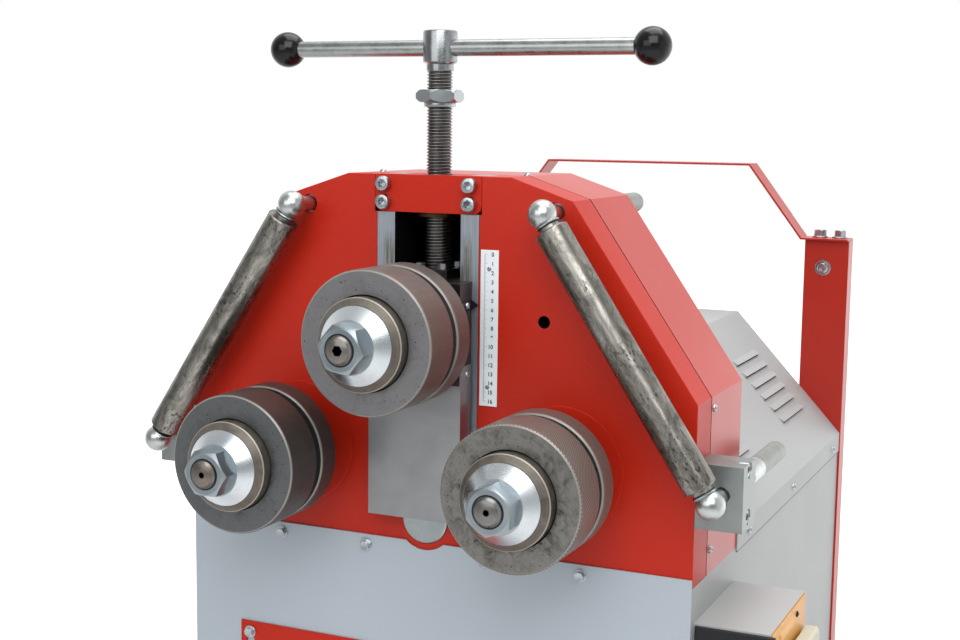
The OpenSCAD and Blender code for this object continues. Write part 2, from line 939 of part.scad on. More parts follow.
module rear_posts() {
  color(red)
  in_head()
  both_sides()
  difference() {
    block([post_x0, cabinet_d, base_top], [post_x1, cabinet_d + post_d, post_top]);
    block(
      [post_x0 + post_wall, cabinet_d + post_wall, base_top - over],
      [post_x1 - post_wall, cabinet_d + post_d - post_wall, post_top - post_wall]
    );
  }
}

// Flat bar bent over from post to post
module arch_bar() {
  foot_x = post_x0 - arch_foot_in;
  bend_x = arch_flat_w / 2;
  under = [
    [post_x1, post_top],
    [foot_x, post_top],
    [bend_x, arch_top - arch_t],
    [-bend_x, arch_top - arch_t],
    [-foot_x, post_top],
    [-post_x1, post_top]
  ];
  outside = [
    [-post_x1, post_top + arch_t],
    inset_corner(under[3], under[4], under[5], -arch_t),
    inset_corner(under[2], under[3], under[4], -arch_t),
    inset_corner(under[1], under[2], under[3], -arch_t),
    inset_corner(under[0], under[1], under[2], -arch_t),
    [post_x1, post_top + arch_t]
  ];
  y1 = cabinet_d + post_d;
  color(red)
  in_head()
  y_extrude(y1 - arch_w, y1)
    polygon(concat(under, outside));
}

// Blocks on the head sides that clamp the lower guide rods
module guide_blocks() {
  out_x = half_w + block_w;
  mid_y = block_d / 2;
  color(cover_grey)
  in_head()
  both_sides()
  difference() {
    block([half_w, 0, -guide_low - block_down], [out_x, block_d, block_up - guide_low]);
    y_bore(rod_d + 2 * fit_gap, 0, block_d, low_place);
    for (z = [block_screw_up - guide_low, -guide_low - block_screw_down]) {
      x_bar(block_screw_d, half_w - over, out_x + over, [mid_y, z]);
      x_bar(block_head_d, out_x - block_head_h, out_x + over, [mid_y, z]);
    }
  }
}

// Control box on the right side, open towards the cabinet
module control_box() {
  x1 = half_w + box_w;
  y1 = box_front + box_d;
  low = -box_drop - box_h;
  color(light_grey)
  in_head()
  difference() {
    block([half_w, box_front, low], [x1, y1, -box_drop]);
    block([half_w - over, box_front + box_t, low + box_t], [x1 - box_t, y1 - box_t, -box_drop - box_t]);
    x_bar(switch_pin_d + 2 * fit_gap, x1 - box_t - over, x1 + over, switch_place());
  }
}

function switch_place() = [box_front + box_d / 2, -box_drop - switch_plate_drop - switch_plate_w / 2];

module switch_plate() {
  x0 = half_w + box_w;
  place = switch_place();
  half = switch_plate_w / 2;
  color(amber)
  in_head()
  difference() {
    block([x0, place[0] - half, place[1] - half], [x0 + switch_plate_t, place[0] + half, place[1] + half]);
    x_bar(switch_pin_d + 2 * fit_gap, x0 - over, x0 + switch_plate_t + over, place);
  }
}

// Rotary main switch: pin through the plate, round base and a raised grip bar
module switch_knob() {
  x0 = half_w + box_w + switch_plate_t + slide_gap;
  x1 = x0 + switch_base_h;
  place = switch_place();
  grip = switch_d * switch_grip_share / 2;
  color(black)
  in_head()
  union() {
    x_bar(switch_pin_d, x0 - switch_pin_l, x1, place);
    x_bar(switch_d, x0, x1, place);
    intersection() {
      block(
        [x1 - over, place[0] - switch_grip_w / 2, place[1] - grip],
        [x1 + switch_grip_h, place[0] + switch_grip_w / 2, place[1] + grip]
      );
      x_bar(2 * grip, x1 - over, x1 + switch_grip_h, place);
    }
  }
}

// Carriage
module carriage_block() {
  pocket_d = collar_d + 2 * slide_gap;
  pocket_low = carriage_top - slide_gap - collar_h - slide_gap;
  bearing_y = flange_chamfer - flange_t;
  color(dark_steel)
  in_head()
  difference() {
    union() {
      block([-flange_x, -flange_t, carriage_low], [flange_x, -slide_gap, carriage_top]);
      block([-web_x, -flange_t, carriage_low], [web_x, back_y1, carriage_top]);
      block([-flange_x, back_y0, carriage_low], [flange_x, back_y1, carriage_top]);
    }
    y_bore(web_bore_d, -flange_t, back_y1, upper_place);
    y_bar(upper_bearing[0], -flange_t - over, bearing_y + upper_bearing[2], upper_place);
    y_bar(upper_bearing[0], back_y1 - upper_bearing[2], back_y1 + over, upper_place);
    z_bar(pocket_d, pocket_low, carriage_top + over, screw_place);
  }
}

module carriage_bearings() {
  color(steel)
  in_head() {
    y_turned(bearing_profile(upper_bearing, flange_chamfer - flange_t), upper_place);
    y_turned(bearing_profile(upper_bearing, back_y1 - upper_bearing[2]), upper_place);
  }
}

// Plate that holds the collar of the lead screw down in the carriage
module screw_retainer() {
  x = retainer_w / 2;
  color(dark_steel)
  in_head()
  difference() {
    block(
      [-x, screw_y - retainer_d / 2, carriage_top],
      [x, screw_y + retainer_d / 2, carriage_top + retainer_t]
    );
    z_bar(screw_d + 2 * slide_gap, carriage_top - over, carriage_top + retainer_t + over, screw_place);
  }
}

// Sheet channel below the carriage, its side tabs screwed to the flange
module slide_cover() {
  out_x = flange_x + slide_sheet_t;
  low = carriage_low - slide_cover_l;
  color(cover_grey)
  in_head()
  difference() {
    block([-out_x, -flange_t, low], [out_x, -slide_flange_back, carriage_low + tab_rise]);
    block([-flange_x, slide_sheet_t - flange_t, low - over], [flange_x, over, carriage_low]);
    block([-flange_x, -flange_t - over, carriage_low], [flange_x, over, carriage_low + tab_rise + over]);
  }
}

// Bent pointer: a tab on the carriage side and a tip that reaches the scale
module pointer() {
  z = upper_z + pointer_rise;
  tip_x = strip_x - pointer_tip;
  tab_y = -flange_t + flange_chamfer;
  color(black)
  in_head()
  union() {
    block(
      [flange_x, tab_y, z - pointer_h / 2],
      [flange_x + pointer_t, -pointer_back, z + pointer_h / 2]
    );
    y_extrude(-pointer_back - pointer_t, -pointer_back)
      polygon([[flange_x, z - pointer_h / 2], [tip_x, z], [flange_x, z + pointer_h / 2]]);
  }
}

// Lead screw with its collar, neck and cross-drilled head
module lead_screw() {
  collar_top = carriage_top - slide_gap;
  neck_z = screw_top - screw_head_h;
  head_r = screw_head_d / 2;
  color(dark_steel)
  in_head()
  difference() {
    z_turned([
      [0, collar_top - collar_h],
      [collar_d / 2, collar_top - collar_h],
      [collar_d / 2, collar_top],
      [screw_d / 2, collar_top],
      [screw_d / 2, neck_z - screw_neck_h],
      [head_r - screw_chamfer, neck_z - screw_chamfer],
      [head_r, neck_z],
      [head_r, screw_top - screw_chamfer],
      [head_r - screw_chamfer, screw_top],
      [0, screw_top]
    ], screw_place);
    x_bar(bar_d + 2 * fit_gap, -screw_head_d, screw_head_d, [screw_y, screw_top - bar_drop]);
  }
}

module tommy_bar() {
  color(zinc)
  in_head()
  x_bar(bar_d, bar_shift - bar_span / 2, bar_shift + bar_span / 2, [screw_y, screw_top - bar_drop]);
}

// Ball knobs, each bored from its inner side for the end of the bar
module bar_knobs() {
  color(black)
  in_head()
  for (turn = [0, 180])
    translate([bar_shift, screw_y, screw_top - bar_drop])
      rotate([0, 0, turn])
        translate([bar_span / 2, 0, 0])
          difference() {
            sphere(d = knob_d);
            x_bar(bar_d + 2 * knob_gap, -knob_d, knob_gap, [0, 0]);
          }
}

module stop_washer() {
  z = screw_top - stop_drop - stop_h - washer_h;
  color(zinc)
  in_head()
  z_turned([
    [screw_d / 2 + slide_gap, z],
    [washer_d / 2, z],
    [washer_d / 2, z + washer_h],
    [screw_d / 2 + slide_gap, z + washer_h]
  ], screw_place);
}

module stop_nut() {
  z1 = screw_top - stop_drop;
  z0 = z1 - stop_h;
  corner_r = stop_af / sqrt(3);
  color(zinc)
  in_head()
  difference() {
    intersection() {
      translate([0, screw_y, z0])
        rotate([0, 0, stop_turn]) cylinder(r = corner_r, h = stop_h, $fn = 6);
      z_turned([
        [0, z0],
        [stop_af / 2, z0],
        [corner_r, z0 + stop_chamfer],
        [corner_r, z1 - stop_chamfer],
        [stop_af / 2, z1],
        [0, z1]
      ], screw_place);
    }
    z_bar(screw_d + 2 * fit_gap, z0 - over, z1 + over, screw_place);
  }
}

// Roll stations
function nose_points() = [
  [0, shaft_y0],
  [shaft_thread_d / 2 - shaft_chamfer, shaft_y0],
  [shaft_thread_d / 2, shaft_y0 + shaft_chamfer],
  [shaft_thread_d / 2, hub_y0 + thread_depth],
  [shaft_seat_d / 2, hub_y0 + thread_depth],
  [shaft_seat_d / 2, -roll_gap]
];

function lower_shaft_profile() = concat(nose_points(), [
  [lower_flange_d / 2, -roll_gap],
  [lower_flange_d / 2, flange_ring_t - roll_gap],
  [collar_gap_d / 2, flange_ring_t - roll_gap],
  [collar_gap_d / 2, lower_bearing_inset - over],
  [lower_bearing[1] / 2, lower_bearing_inset - over],
  [lower_bearing[1] / 2, case_y0 - over],
  [tail_bearing[1] / 2, case_y0 - over],
  [tail_bearing[1] / 2, case_y1 + shaft_tail],
  [0, case_y1 + shaft_tail]
]);

function upper_shaft_profile() = concat(nose_points(), [
  [upper_flange_d / 2, -roll_gap],
  [upper_flange_d / 2, flange_ring_t - roll_gap],
  [upper_bearing[1] / 2, flange_ring_t - roll_gap],
  [upper_bearing[1] / 2, back_y1 + shaft_tail],
  [0, back_y1 + shaft_tail]
]);

module lower_shaft(place) {
  color(steel)
  in_head()
  difference() {
    y_turned(lower_shaft_profile(), place);
    y_bar(centre_hole_d, shaft_y0 - over, shaft_y0 + socket_depth, place);
  }
}

module roll_hub(place) {
  bore_r = shaft_seat_d / 2 + fit_gap;
  color(dark_steel)
  in_head()
  y_turned([
    [bore_r, hub_y0],
    [cone_d / 2 + hub_land, hub_y0],
    [hub_d / 2, hub_y0 + hub_bevel],
    [hub_d / 2, -roll_gap - bore_chamfer],
    [hub_d / 2 - bore_chamfer, -roll_gap],
    [bore_r, -roll_gap]
  ], place);
}

module roll_ring(place, y0, y1) {
  color(steel)
  in_head()
  y_turned(ring_profile(roll_d, hub_d + 2 * fit_gap, y0, y1, ring_chamfer), place);
}

// Nut and clamp cone in one piece, its hexagon chamfered at the front
module clamp_nut(place, turn) {
  corner_r = nut_af / sqrt(3);
  color(zinc)
  in_head()
  difference() {
    union() {
      y_turned([
        [0, nut_y1],
        [nut_shoulder_d / 2, nut_y1],
        [cone_d / 2, hub_y0],
        [0, hub_y0]
      ], place);
      intersection() {
        translate([place[0], nut_y0, place[1]])
          rotate([-90, 0, 0])
            rotate([0, 0, turn])
              cylinder(r = corner_r, h = nut_h + over, $fn = 6);
        y_turned([
          [0, nut_y0],
          [nut_face_d / 2, nut_y0],
          [corner_r, nut_y0 + nut_chamfer],
          [corner_r, nut_y1 + over],
          [0, nut_y1 + over]
        ], place);
      }
    }
    y_bore(shaft_thread_d + 2 * fit_gap, nut_y0, hub_y0, place);
  }
}

module roll_gear(place, phase) {
  color(steel)
  in_head()
  difference() {
    translate([place[0], 0, place[1]])
      y_extrude(gear_y0, gear_y1) polygon(gear_outline(gear_teeth, phase));
    y_bore(lower_bearing[1] + 2 * fit_gap, gear_y0, gear_y1, place);
  }
}

module upper_shaft() {
  color(steel)
  in_head()
  difference() {
    y_turned(upper_shaft_profile(), upper_place);
    translate([upper_place[0], shaft_y0 - over, upper_place[1]])
      rotate([-90, 0, 0])
        cylinder(r = socket_af / sqrt(3), h = socket_depth + over, $fn = 6);
  }
}

module upper_hub() {
  roll_hub(upper_place);
}

module upper_rear_ring() {
  roll_ring(upper_place, rear_ring_y0, rear_ring_y1);
}

module upper_front_ring() {
  roll_ring(upper_place, front_ring_y0, front_ring_y1);
}

module upper_clamp_nut() {
  clamp_nut(upper_place, upper_nut_turn);
}

module left_shaft() {
  lower_shaft(left_place);
}

module left_hub() {
  roll_hub(left_place);
}

module left_rear_ring() {
  roll_ring(left_place, rear_ring_y0, rear_ring_y1);
}

module left_front_ring() {
  roll_ring(left_place, front_ring_y0, front_ring_y1);
}

module left_clamp_nut() {
  clamp_nut(left_place, left_nut_turn);
}

module left_gear() {
  roll_gear(left_place, gear_phase(180 - mesh_angle));
}

module right_shaft() {
  lower_shaft(lower_place);
}

module right_hub() {
  roll_hub(lower_place);
}

module right_rear_ring() {
  roll_ring(lower_place, rear_ring_y0, rear_ring_y1);
}

module right_front_ring() {
  roll_ring(lower_place, front_ring_y0, front_ring_y1);
}

module right_clamp_nut() {
  clamp_nut(lower_place, right_nut_turn);
}

module right_gear() {
  roll_gear(lower_place, gear_phase(mesh_angle));
}

// Drive shaft from the front bearing to the hollow shaft of the gearbox
module drive_shaft() {
  journal_r = drive_bearing[1] / 2;
  front_y = drive_bearing_inset + drive_bearing[2] + over;
  color(steel)
  in_head()
  y_turned([
    [0, drive_cap_depth + over],
    [journal_r, drive_cap_depth + over],
    [journal_r, front_y],
    [drive_d / 2, front_y],
    [drive_d / 2, case_y0 - over],
    [journal_r, case_y0 - over],
    [journal_r, gear_unit_y0 + hollow_shaft_l - over],
    [0, gear_unit_y0 + hollow_shaft_l - over]
  ], drive_place);
}

module drive_pinion() {
  color(steel)
  in_head()
  difference() {
    translate([drive_place[0], 0, drive_place[1]])
      y_extrude(gear_y0, gear_y1) polygon(gear_outline(pinion_teeth, pinion_phase));
    y_bore(drive_d + 2 * fit_gap, gear_y0, gear_y1, drive_place);
  }
}

// Side guides: the roller runs from the upper ball down to the lower ball
upper_ball = [guide_x, -guide_reach, guide_z];
lower_ball = [low_x, -guide_reach, -guide_low];
guide_run = lower_ball - upper_ball;
guide_length = norm(guide_run);
guide_tilt = atan2(guide_run[0], guide_run[2]);

// Puts the children on the upper ball with Z down the roller
module along_roller() {
  translate(upper_ball) rotate([0, guide_tilt, 0]) children();
}

module guide_rods() {
  color(cover_grey)
  in_head()
  difference() {
    union() {
      guide_rod(upper_ball, upper_tail);
      guide_rod(lower_ball, lower_tail);
    }
    along_roller() cylinder(d = spindle_d + 2 * fit_gap, h = guide_length);
  }
}

// Ball with a neck, the rod, and behind the head a sleeve
module guide_rod(ball, tail) {
  union() {
    translate(ball) sphere(d = ball_d);
    y_turned([
      [0, ball[1]],
      [neck_d / 2, ball[1]],
      [neck_d / 2, neck_back],
      [rod_d / 2, neck_back],
      [rod_d / 2, sleeve_y0],
      [sleeve_d / 2, sleeve_y0],
      [sleeve_d / 2, tail - rod_chamfer],
      [sleeve_d / 2 - rod_chamfer, tail],
      [0, tail]
    ], [ball[0], ball[2]]);
  }
}

module guide_spindle() {
  color(zinc)
  in_head()
  along_roller()
    translate([0, 0, fit_gap]) cylinder(d = spindle_d, h = guide_length - 2 * fit_gap);
}

// Steel tube, chamfered at both ends
module guide_roller() {
  z0 = roller_gap;
  z1 = guide_length - roller_gap;
  bore_r = spindle_d / 2 + fit_gap;
  color(dark_steel)
  in_head()
  along_roller()
    rotate_extrude() polygon([
      [bore_r, z0],
      [roller_d / 2 - bore_chamfer, z0],
      [roller_d / 2, z0 + bore_chamfer],
      [roller_d / 2, z1 - bore_chamfer],
      [roller_d / 2 - bore_chamfer, z1],
      [bore_r, z1]
    ]);
}

module right_guide_rods() {
  guide_rods();
}

module right_spindle() {
  guide_spindle();
}

module right_roller() {
  guide_roller();
}

module left_guide_rods() {
  mirror([1, 0, 0]) guide_rods();
}

module left_spindle() {
  mirror([1, 0, 0]) guide_spindle();
}

module left_roller() {
  mirror([1, 0, 0]) guide_roller();
}

base_plate();
cabinet_shell();
cabinet_frame();
front_panel();
access_panel();
front_plate();
guide_rails();
top_bridge();
lead_nut();
scale_strip();
bearing_caps();
drive_cap();
frame_bearings();
gear_case();
head_cover();
gearbox();
motor();
motor_hood();
rear_posts();
arch_bar();
guide_blocks();
control_box();
switch_plate();
switch_knob();
carriage_block();
carriage_bearings();
screw_retainer();
slide_cover();
pointer();
lead_screw();
tommy_bar();
bar_knobs();
stop_washer();
stop_nut();
upper_shaft();
upper_hub();
upper_rear_ring();
upper_front_ring();
upper_clamp_nut();
left_shaft();
left_hub();
left_rear_ring();
left_front_ring();
left_clamp_nut();
left_gear();
right_shaft();
right_hub();
right_rear_ring();
right_front_ring();
right_clamp_nut();
right_gear();
drive_shaft();
drive_pinion();
left_guide_rods();
left_spindle();
left_roller();
right_guide_rods();
right_spindle();
right_roller();
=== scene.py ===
import math

import bmesh
import bpy
from mathutils import Matrix, Vector


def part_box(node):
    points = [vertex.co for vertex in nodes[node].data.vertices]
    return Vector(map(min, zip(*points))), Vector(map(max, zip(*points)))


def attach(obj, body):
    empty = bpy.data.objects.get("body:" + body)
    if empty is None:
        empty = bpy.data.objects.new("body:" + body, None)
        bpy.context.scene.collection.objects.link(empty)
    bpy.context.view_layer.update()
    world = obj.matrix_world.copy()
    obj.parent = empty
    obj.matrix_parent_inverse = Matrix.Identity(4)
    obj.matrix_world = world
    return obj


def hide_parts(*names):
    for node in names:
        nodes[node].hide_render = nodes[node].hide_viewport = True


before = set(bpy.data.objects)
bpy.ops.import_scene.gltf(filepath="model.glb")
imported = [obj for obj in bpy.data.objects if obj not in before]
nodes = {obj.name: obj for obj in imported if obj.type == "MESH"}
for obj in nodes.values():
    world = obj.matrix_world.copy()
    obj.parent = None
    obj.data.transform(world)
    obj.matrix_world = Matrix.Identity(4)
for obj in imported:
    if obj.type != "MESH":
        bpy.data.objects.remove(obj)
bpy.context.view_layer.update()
scene = bpy.context.scene
scene.view_settings.view_transform = "Standard"

X, Y, Z = range(3)
LOW, HIGH = range(2)

# Head coordinates in millimetres start on the front plate's face, midway between the lower roll axes
ring_low, ring_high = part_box("right_front_ring")
HEAD = Vector((0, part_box("front_plate")[LOW].y, (ring_low.z + ring_high.z) / 2))


def row(point):
    """A point in head millimetres as a point of the row frame in metres."""
    return HEAD + Vector(point) / 1000


def reach(node, end, axis):
    """Where a CAD node ends along an axis, in head millimetres, to the micrometre."""
    return round((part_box(node)[end][axis] - HEAD[axis]) * 1000, 3)


def middle(node, axis):
    """The middle of a CAD node along an axis, in head millimetres, to a hundredth."""
    return round((reach(node, LOW, axis) + reach(node, HIGH, axis)) / 2, 2)


# Axes of the rolls, the lead screw and the accessory hole, and the ball ends of the right guide
ROLL_X = (ring_low.x + ring_high.x) * 500
UPPER_Z = middle("upper_front_ring", Z)
SCREW_Y = middle("lead_screw", Y)
HOLE_X, HOLE_Z = 139.0, 158.0
GUIDE_TOP, GUIDE_LOW = Vector((150, -37, 274.5)), Vector((336.5, -37, -8))

# The zero of the scale is as far from the left edge of its strip as from the top
SCALE_MARGIN = 4.6
SCALE_X = reach("scale_strip", LOW, X) + SCALE_MARGIN
SCALE_Y = reach("scale_strip", LOW, Y)
SCALE_ZERO = reach("scale_strip", HIGH, Z) - SCALE_MARGIN

# Points in a circle
SEGMENTS = 48

# Radii and places in metres where the materials change
ROLL_R, HUB_BEVEL_R, SOCKET_R, HOLE_R = 0.076, 0.048, 0.0066, 0.0065
SLOT_X, SLEEVE_Y, NUT_DEPTH = 0.07, 0.143, 0.02


def srgb(r, g, b):
    return tuple(((c / 255 + 0.055) / 1.055) ** 2.4 for c in (r, g, b)) + (1.0,)


def scaled(colour, share):
    return tuple(min(1.0, c * share) for c in colour[:3]) + (1.0,)


# Materials


class Nodes:
    """An emptied node tree, with short calls for the nodes in it."""

    def __init__(self, owner):
        owner.use_nodes = True
        self.tree = owner.node_tree
        self.tree.nodes.clear()

    def feed(self, socket, value):
        """Links another node's output, or sets a plain value."""
        if isinstance(value, bpy.types.NodeSocket):
            self.tree.links.new(value, socket)
        else:
            socket.default_value = value

    def node(self, kind, inputs=None, **settings):
        made = self.tree.nodes.new("ShaderNode" + kind)
        for key, value in settings.items():
            setattr(made, key, value)
        for key, value in (inputs or {}).items():
            self.feed(made.inputs[key], value)
        return made

    def math(self, operation, *values):
        return self.node("Math", dict(enumerate(values)), operation=operation).outputs[0]

    def span(self, value, low, high, to_low=0.0, to_high=1.0):
        values = {"Value": value, "From Min": low, "From Max": high, "To Min": to_low, "To Max": to_high}
        return self.node("MapRange", values).outputs["Result"]

    def sight(self, share):
        """1 for camera rays, and the given share for mirrored and transmitted ones."""
        rays = self.node("LightPath").outputs
        mirrored = self.math("MAXIMUM", rays["Is Glossy Ray"], rays["Is Transmission Ray"])
        return self.math("MAXIMUM", rays["Is Camera Ray"], self.math("MULTIPLY", mirrored, share))


class Shader(Nodes):
    """A Principled material and the textures that feed it."""

    def __init__(self, name, **values):
        self.material = bpy.data.materials.new(name)
        super().__init__(self.material)
        self.bsdf = self.node("BsdfPrincipled")
        self.node("OutputMaterial", {"Surface": self.bsdf.outputs["BSDF"]})
        self.set(**values)

    def set(self, **values):
        for key, value in values.items():
            self.feed(self.bsdf.inputs[key.replace("_", " ").title().replace("Ior", "IOR")], value)

    def place(self, scale=(1, 1, 1), shift=(0, 0, 0), turn=(0, 0, 0)):
        """Object coordinates in metres, moved, then turned, then stretched."""
        vector = self.node("TexCoord").outputs["Object"]
        for key, value in (("Location", shift), ("Rotation", turn), ("Scale", scale)):
            vector = self.node("Mapping", {"Vector": vector, key: value}).outputs["Vector"]
        return vector

    def noise(self, vector, scale, detail=3.0, rough=0.5, bend=0.0):
        values = {"Vector": vector, "Scale": scale, "Detail": detail, "Roughness": rough, "Distortion": bend}
        return self.node("TexNoise", values).outputs["Fac"]

    def lines(self, along, scale, detail=2.0):
        """Noise along one number, for turned and ruled surfaces."""
        values = {"W": along, "Scale": scale, "Detail": detail}
        return self.node("TexNoise", values, noise_dimensions="1D").outputs["Fac"]

    def mix(self, share, a, b):
        return self.node("Mix", {0: share, 6: a, 7: b}, data_type="RGBA").outputs[2]

    def bump(self, height, depth, strength=1.0, under=None):
        values = {"Height": height, "Distance": depth, "Strength": strength}
        if under is not None:
            values["Normal"] = under
        return self.node("Bump", values).outputs["Normal"]

    def steepness(self, axis):
        """How squarely the surface faces along one object axis, from 0 to 1."""
        normal = self.node("TexCoord").outputs["Normal"]
        return self.math("ABSOLUTE", self.node("SeparateXYZ", {"Vector": normal}).outputs[axis])

    def coordinate(self, axis):
        return self.node("SeparateXYZ", {"Vector": self.node("TexCoord").outputs["Object"]}).outputs[axis]

    def radius(self, centre, flat=(1, 0, 1)):
        """Distance from an axis through centre."""
        vector = self.place(scale=flat, shift=-Vector(centre))
        return self.node("VectorMath", {0: vector}, operation="LENGTH").outputs["Value"]


def paint(name, colour, grain, depth, rough, coat=0.0, dust=0.05, specular=0.5, shade=None):
    """Sprayed paint: orange peel at the given grain, faint clouds, and painted shade, near black, on the
    faces that the shade function picks.
    """
    s = Shader(name, specular_ior_level=specular, coat_weight=coat, coat_roughness=0.18)
    where = s.place()
    cloud = s.noise(where, 5, 4, 0.6)
    speck = s.noise(where, grain * 1.7, 2, 0.6)
    tone = s.math("MULTIPLY", s.span(speck, 0.3, 0.7, 0.3, 0.7), s.span(cloud, 0.25, 0.75, 0.6, 1.4))
    tone = s.mix(tone, scaled(colour, 1 - dust), scaled(colour, 1 + dust))
    # Painted shade: the faces that shade picks are made near black
    if shade:
        tone = s.mix(shade(s), tone, srgb(20, 18, 19))
    s.set(
        base_color=tone,
        roughness=s.span(cloud, 0.3, 0.7, rough * 0.9, rough * 1.12),
        normal=s.bump(s.noise(where, grain, 2, 0.45), depth),
    )
    return s.material


def in_slot(s):
    """Painted shade: the walls of the slot in the front plate and of its accessory hole, which the paint
    makes near black.
    """
    across = s.math("ABSOLUTE", s.coordinate(X))
    slot = s.math("MULTIPLY", s.span(s.steepness(X), 0.6, 0.8), s.span(across, SLOT_X + 0.005, SLOT_X))
    r = s.radius(row((HOLE_X, 0, HOLE_Z)))
    return s.math("MAXIMUM", slot, s.span(r, HOLE_R + 0.0005, HOLE_R + 0.0002))


def in_cover(s):
    """Painted shade: the inside of the rear wall of the head cover, which the paint makes near black."""
    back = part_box("head_cover")[HIGH].y
    inside = s.span(s.coordinate(Y), back - 0.0008, back - 0.0012)
    return s.math("MULTIPLY", s.span(s.steepness(Y), 0.6, 0.8), inside)


def metal(name, light, dark, rough, grain=(60, 60, 60), depth=0.00004, mottle=30, fleck=0.4):
    """Bare or plated metal: cloudy tone, and fine marks drawn out along the axes with a small grain."""
    s = Shader(name, metallic=1.0)
    cloud = s.noise(s.place(), mottle, 5, 0.62, 0.6)
    marks = s.noise(s.place(scale=grain), 10, 4, 0.6)
    tone = s.math("ADD", s.math("MULTIPLY", s.span(cloud, 0.3, 0.7), 0.65), s.math("MULTIPLY", marks, fleck))
    s.set(
        base_color=s.mix(tone, dark, light),
        roughness=s.span(s.math("ADD", cloud, marks), 0.6, 1.4, rough * 0.75, rough * 1.3),
        normal=s.bump(marks, depth),
    )
    return s.material


def roll_steel(name, centre, face, stain, outer_shade, knurl=0.0):
    """Turned roll ring: ground face with specks and oily stains, brown oiled outer surface made darker or
    lighter by a painted shade factor, painted highlight on its outer edge chamfers, painted shade on its
    chamfers by the hub, and a knurl drawn as painted light and shade.
    """
    s = Shader(name)
    square = s.steepness(Y)
    is_face = s.span(square, 0.86, 0.95)
    is_edge = s.span(square, 0.3, 0.5)
    r = s.radius(centre)
    rings = s.lines(r, 900, 2)
    cloud = s.noise(s.place(), 20, 5, 0.6, 0.8)
    smear = s.noise(s.place(), 62, 7, 0.7, 1.1)
    blotch = s.noise(s.place(), 26, 6, 0.68, 1.4)
    pits = s.noise(s.place(), 430, 1, 0.4)
    ground = s.mix(s.math("MULTIPLY", s.span(cloud, 0.3, 0.72), 0.55), face, scaled(face, 0.78))
    ground = s.mix(s.math("MULTIPLY", s.span(rings, 0.4, 0.75), 0.25), ground, scaled(face, 1.24))
    near_hub = s.span(r, 0.08, 0.05, 0.2, 1.0)
    oil = s.math("MULTIPLY", s.span(smear, 0.42, 0.62), s.span(blotch, 0.4, 0.54))
    ground = s.mix(s.math("MULTIPLY", s.math("MULTIPLY", oil, near_hub), stain), ground, srgb(58, 52, 44))
    ground = s.mix(s.span(pits, 0.735, 0.76), ground, srgb(52, 49, 48))
    hairs = s.noise(s.place(scale=(1, 0.05, 1)), 420, 3, 0.6)
    browns = ((119, 111, 106), (126, 117, 111), (104, 94, 87))
    # Painted shade: the browns are scaled by the roll's painted shade factor, darker on the left roll
    low, high, spot = (srgb(*(c * outer_shade for c in brown)) for brown in browns)
    around = s.mix(s.span(hairs, 0.3, 0.7), low, high)
    around = s.mix(s.span(smear, 0.45, 0.7, 0, 0.4), around, spot)
    height = s.math("ADD", s.math("MULTIPLY", rings, is_face), s.math("MULTIPLY", hairs, 0.3))
    if knurl:
        turn = s.node("SeparateXYZ", {"Vector": s.place(shift=-Vector(centre))})
        along = s.math("MULTIPLY", s.math("ARCTAN2", turn.outputs[X], turn.outputs[Z]), ROLL_R)
        waves = []
        for way in ("ADD", "SUBTRACT"):
            waves.append(s.math("SINE", s.math("MULTIPLY", s.math(way, along, turn.outputs[Y]), 1500)))
        knurl_light_and_shade = s.span(s.math("MAXIMUM", *waves), 0.3, 0.95)
        # Painted light and shade: the knurl is drawn only as pale crests and dark grooves
        around = s.mix(s.math("MULTIPLY", knurl_light_and_shade, knurl), srgb(92, 84, 78), srgb(176, 166, 158))
    # Painted highlight: the outer edge chamfers turn pale towards the face
    rim_highlight = s.mix(s.span(r, ROLL_R - 0.0012, ROLL_R - 0.0002), srgb(148, 144, 139), around)
    # Painted shade: chamfers nearer the axis than 52 mm, by the hub, are made near black
    edge = s.mix(s.span(r, 0.052, 0.058), srgb(30, 27, 25), rim_highlight)
    tone = s.mix(is_face, s.mix(is_edge, around, edge), ground)
    s.set(
        base_color=tone,
        metallic=s.span(is_face, 0, 1, 0.5, 0.92),
        roughness=s.span(cloud, 0.3, 0.7, 0.38, 0.5),
        normal=s.bump(height, 0.00003, 0.5),
    )
    return s.material


def hub_steel(name, centre):
    """Oiled hub sleeve: brown grey, with a pale painted highlight where its bevel starts."""
    s = Shader(name, metallic=0.75)
    r = s.radius(centre)
    cloud = s.noise(s.place(), 60, 6, 0.65, 0.8)
    rings = s.lines(r, 1500, 2)
    tone = s.mix(s.span(cloud, 0.3, 0.7), srgb(88, 83, 77), srgb(118, 112, 104))
    tone = s.mix(s.math("MULTIPLY", s.span(rings, 0.4, 0.8), 0.3), tone, srgb(140, 134, 124))
    # Painted highlight: a pale band at the outer edge of the bevel
    bevel = s.span(r, HUB_BEVEL_R - 0.0003, HUB_BEVEL_R + 0.0002)
    bevel_highlight = s.math("MULTIPLY", bevel, s.span(s.steepness(Y), 0.3, 0.45))
    s.set(
        base_color=s.mix(bevel_highlight, tone, srgb(168, 161, 149)),
        roughness=s.span(cloud, 0.3, 0.7, 0.44, 0.56),
        normal=s.bump(rings, 0.00002, 0.5),
    )
    return s.material


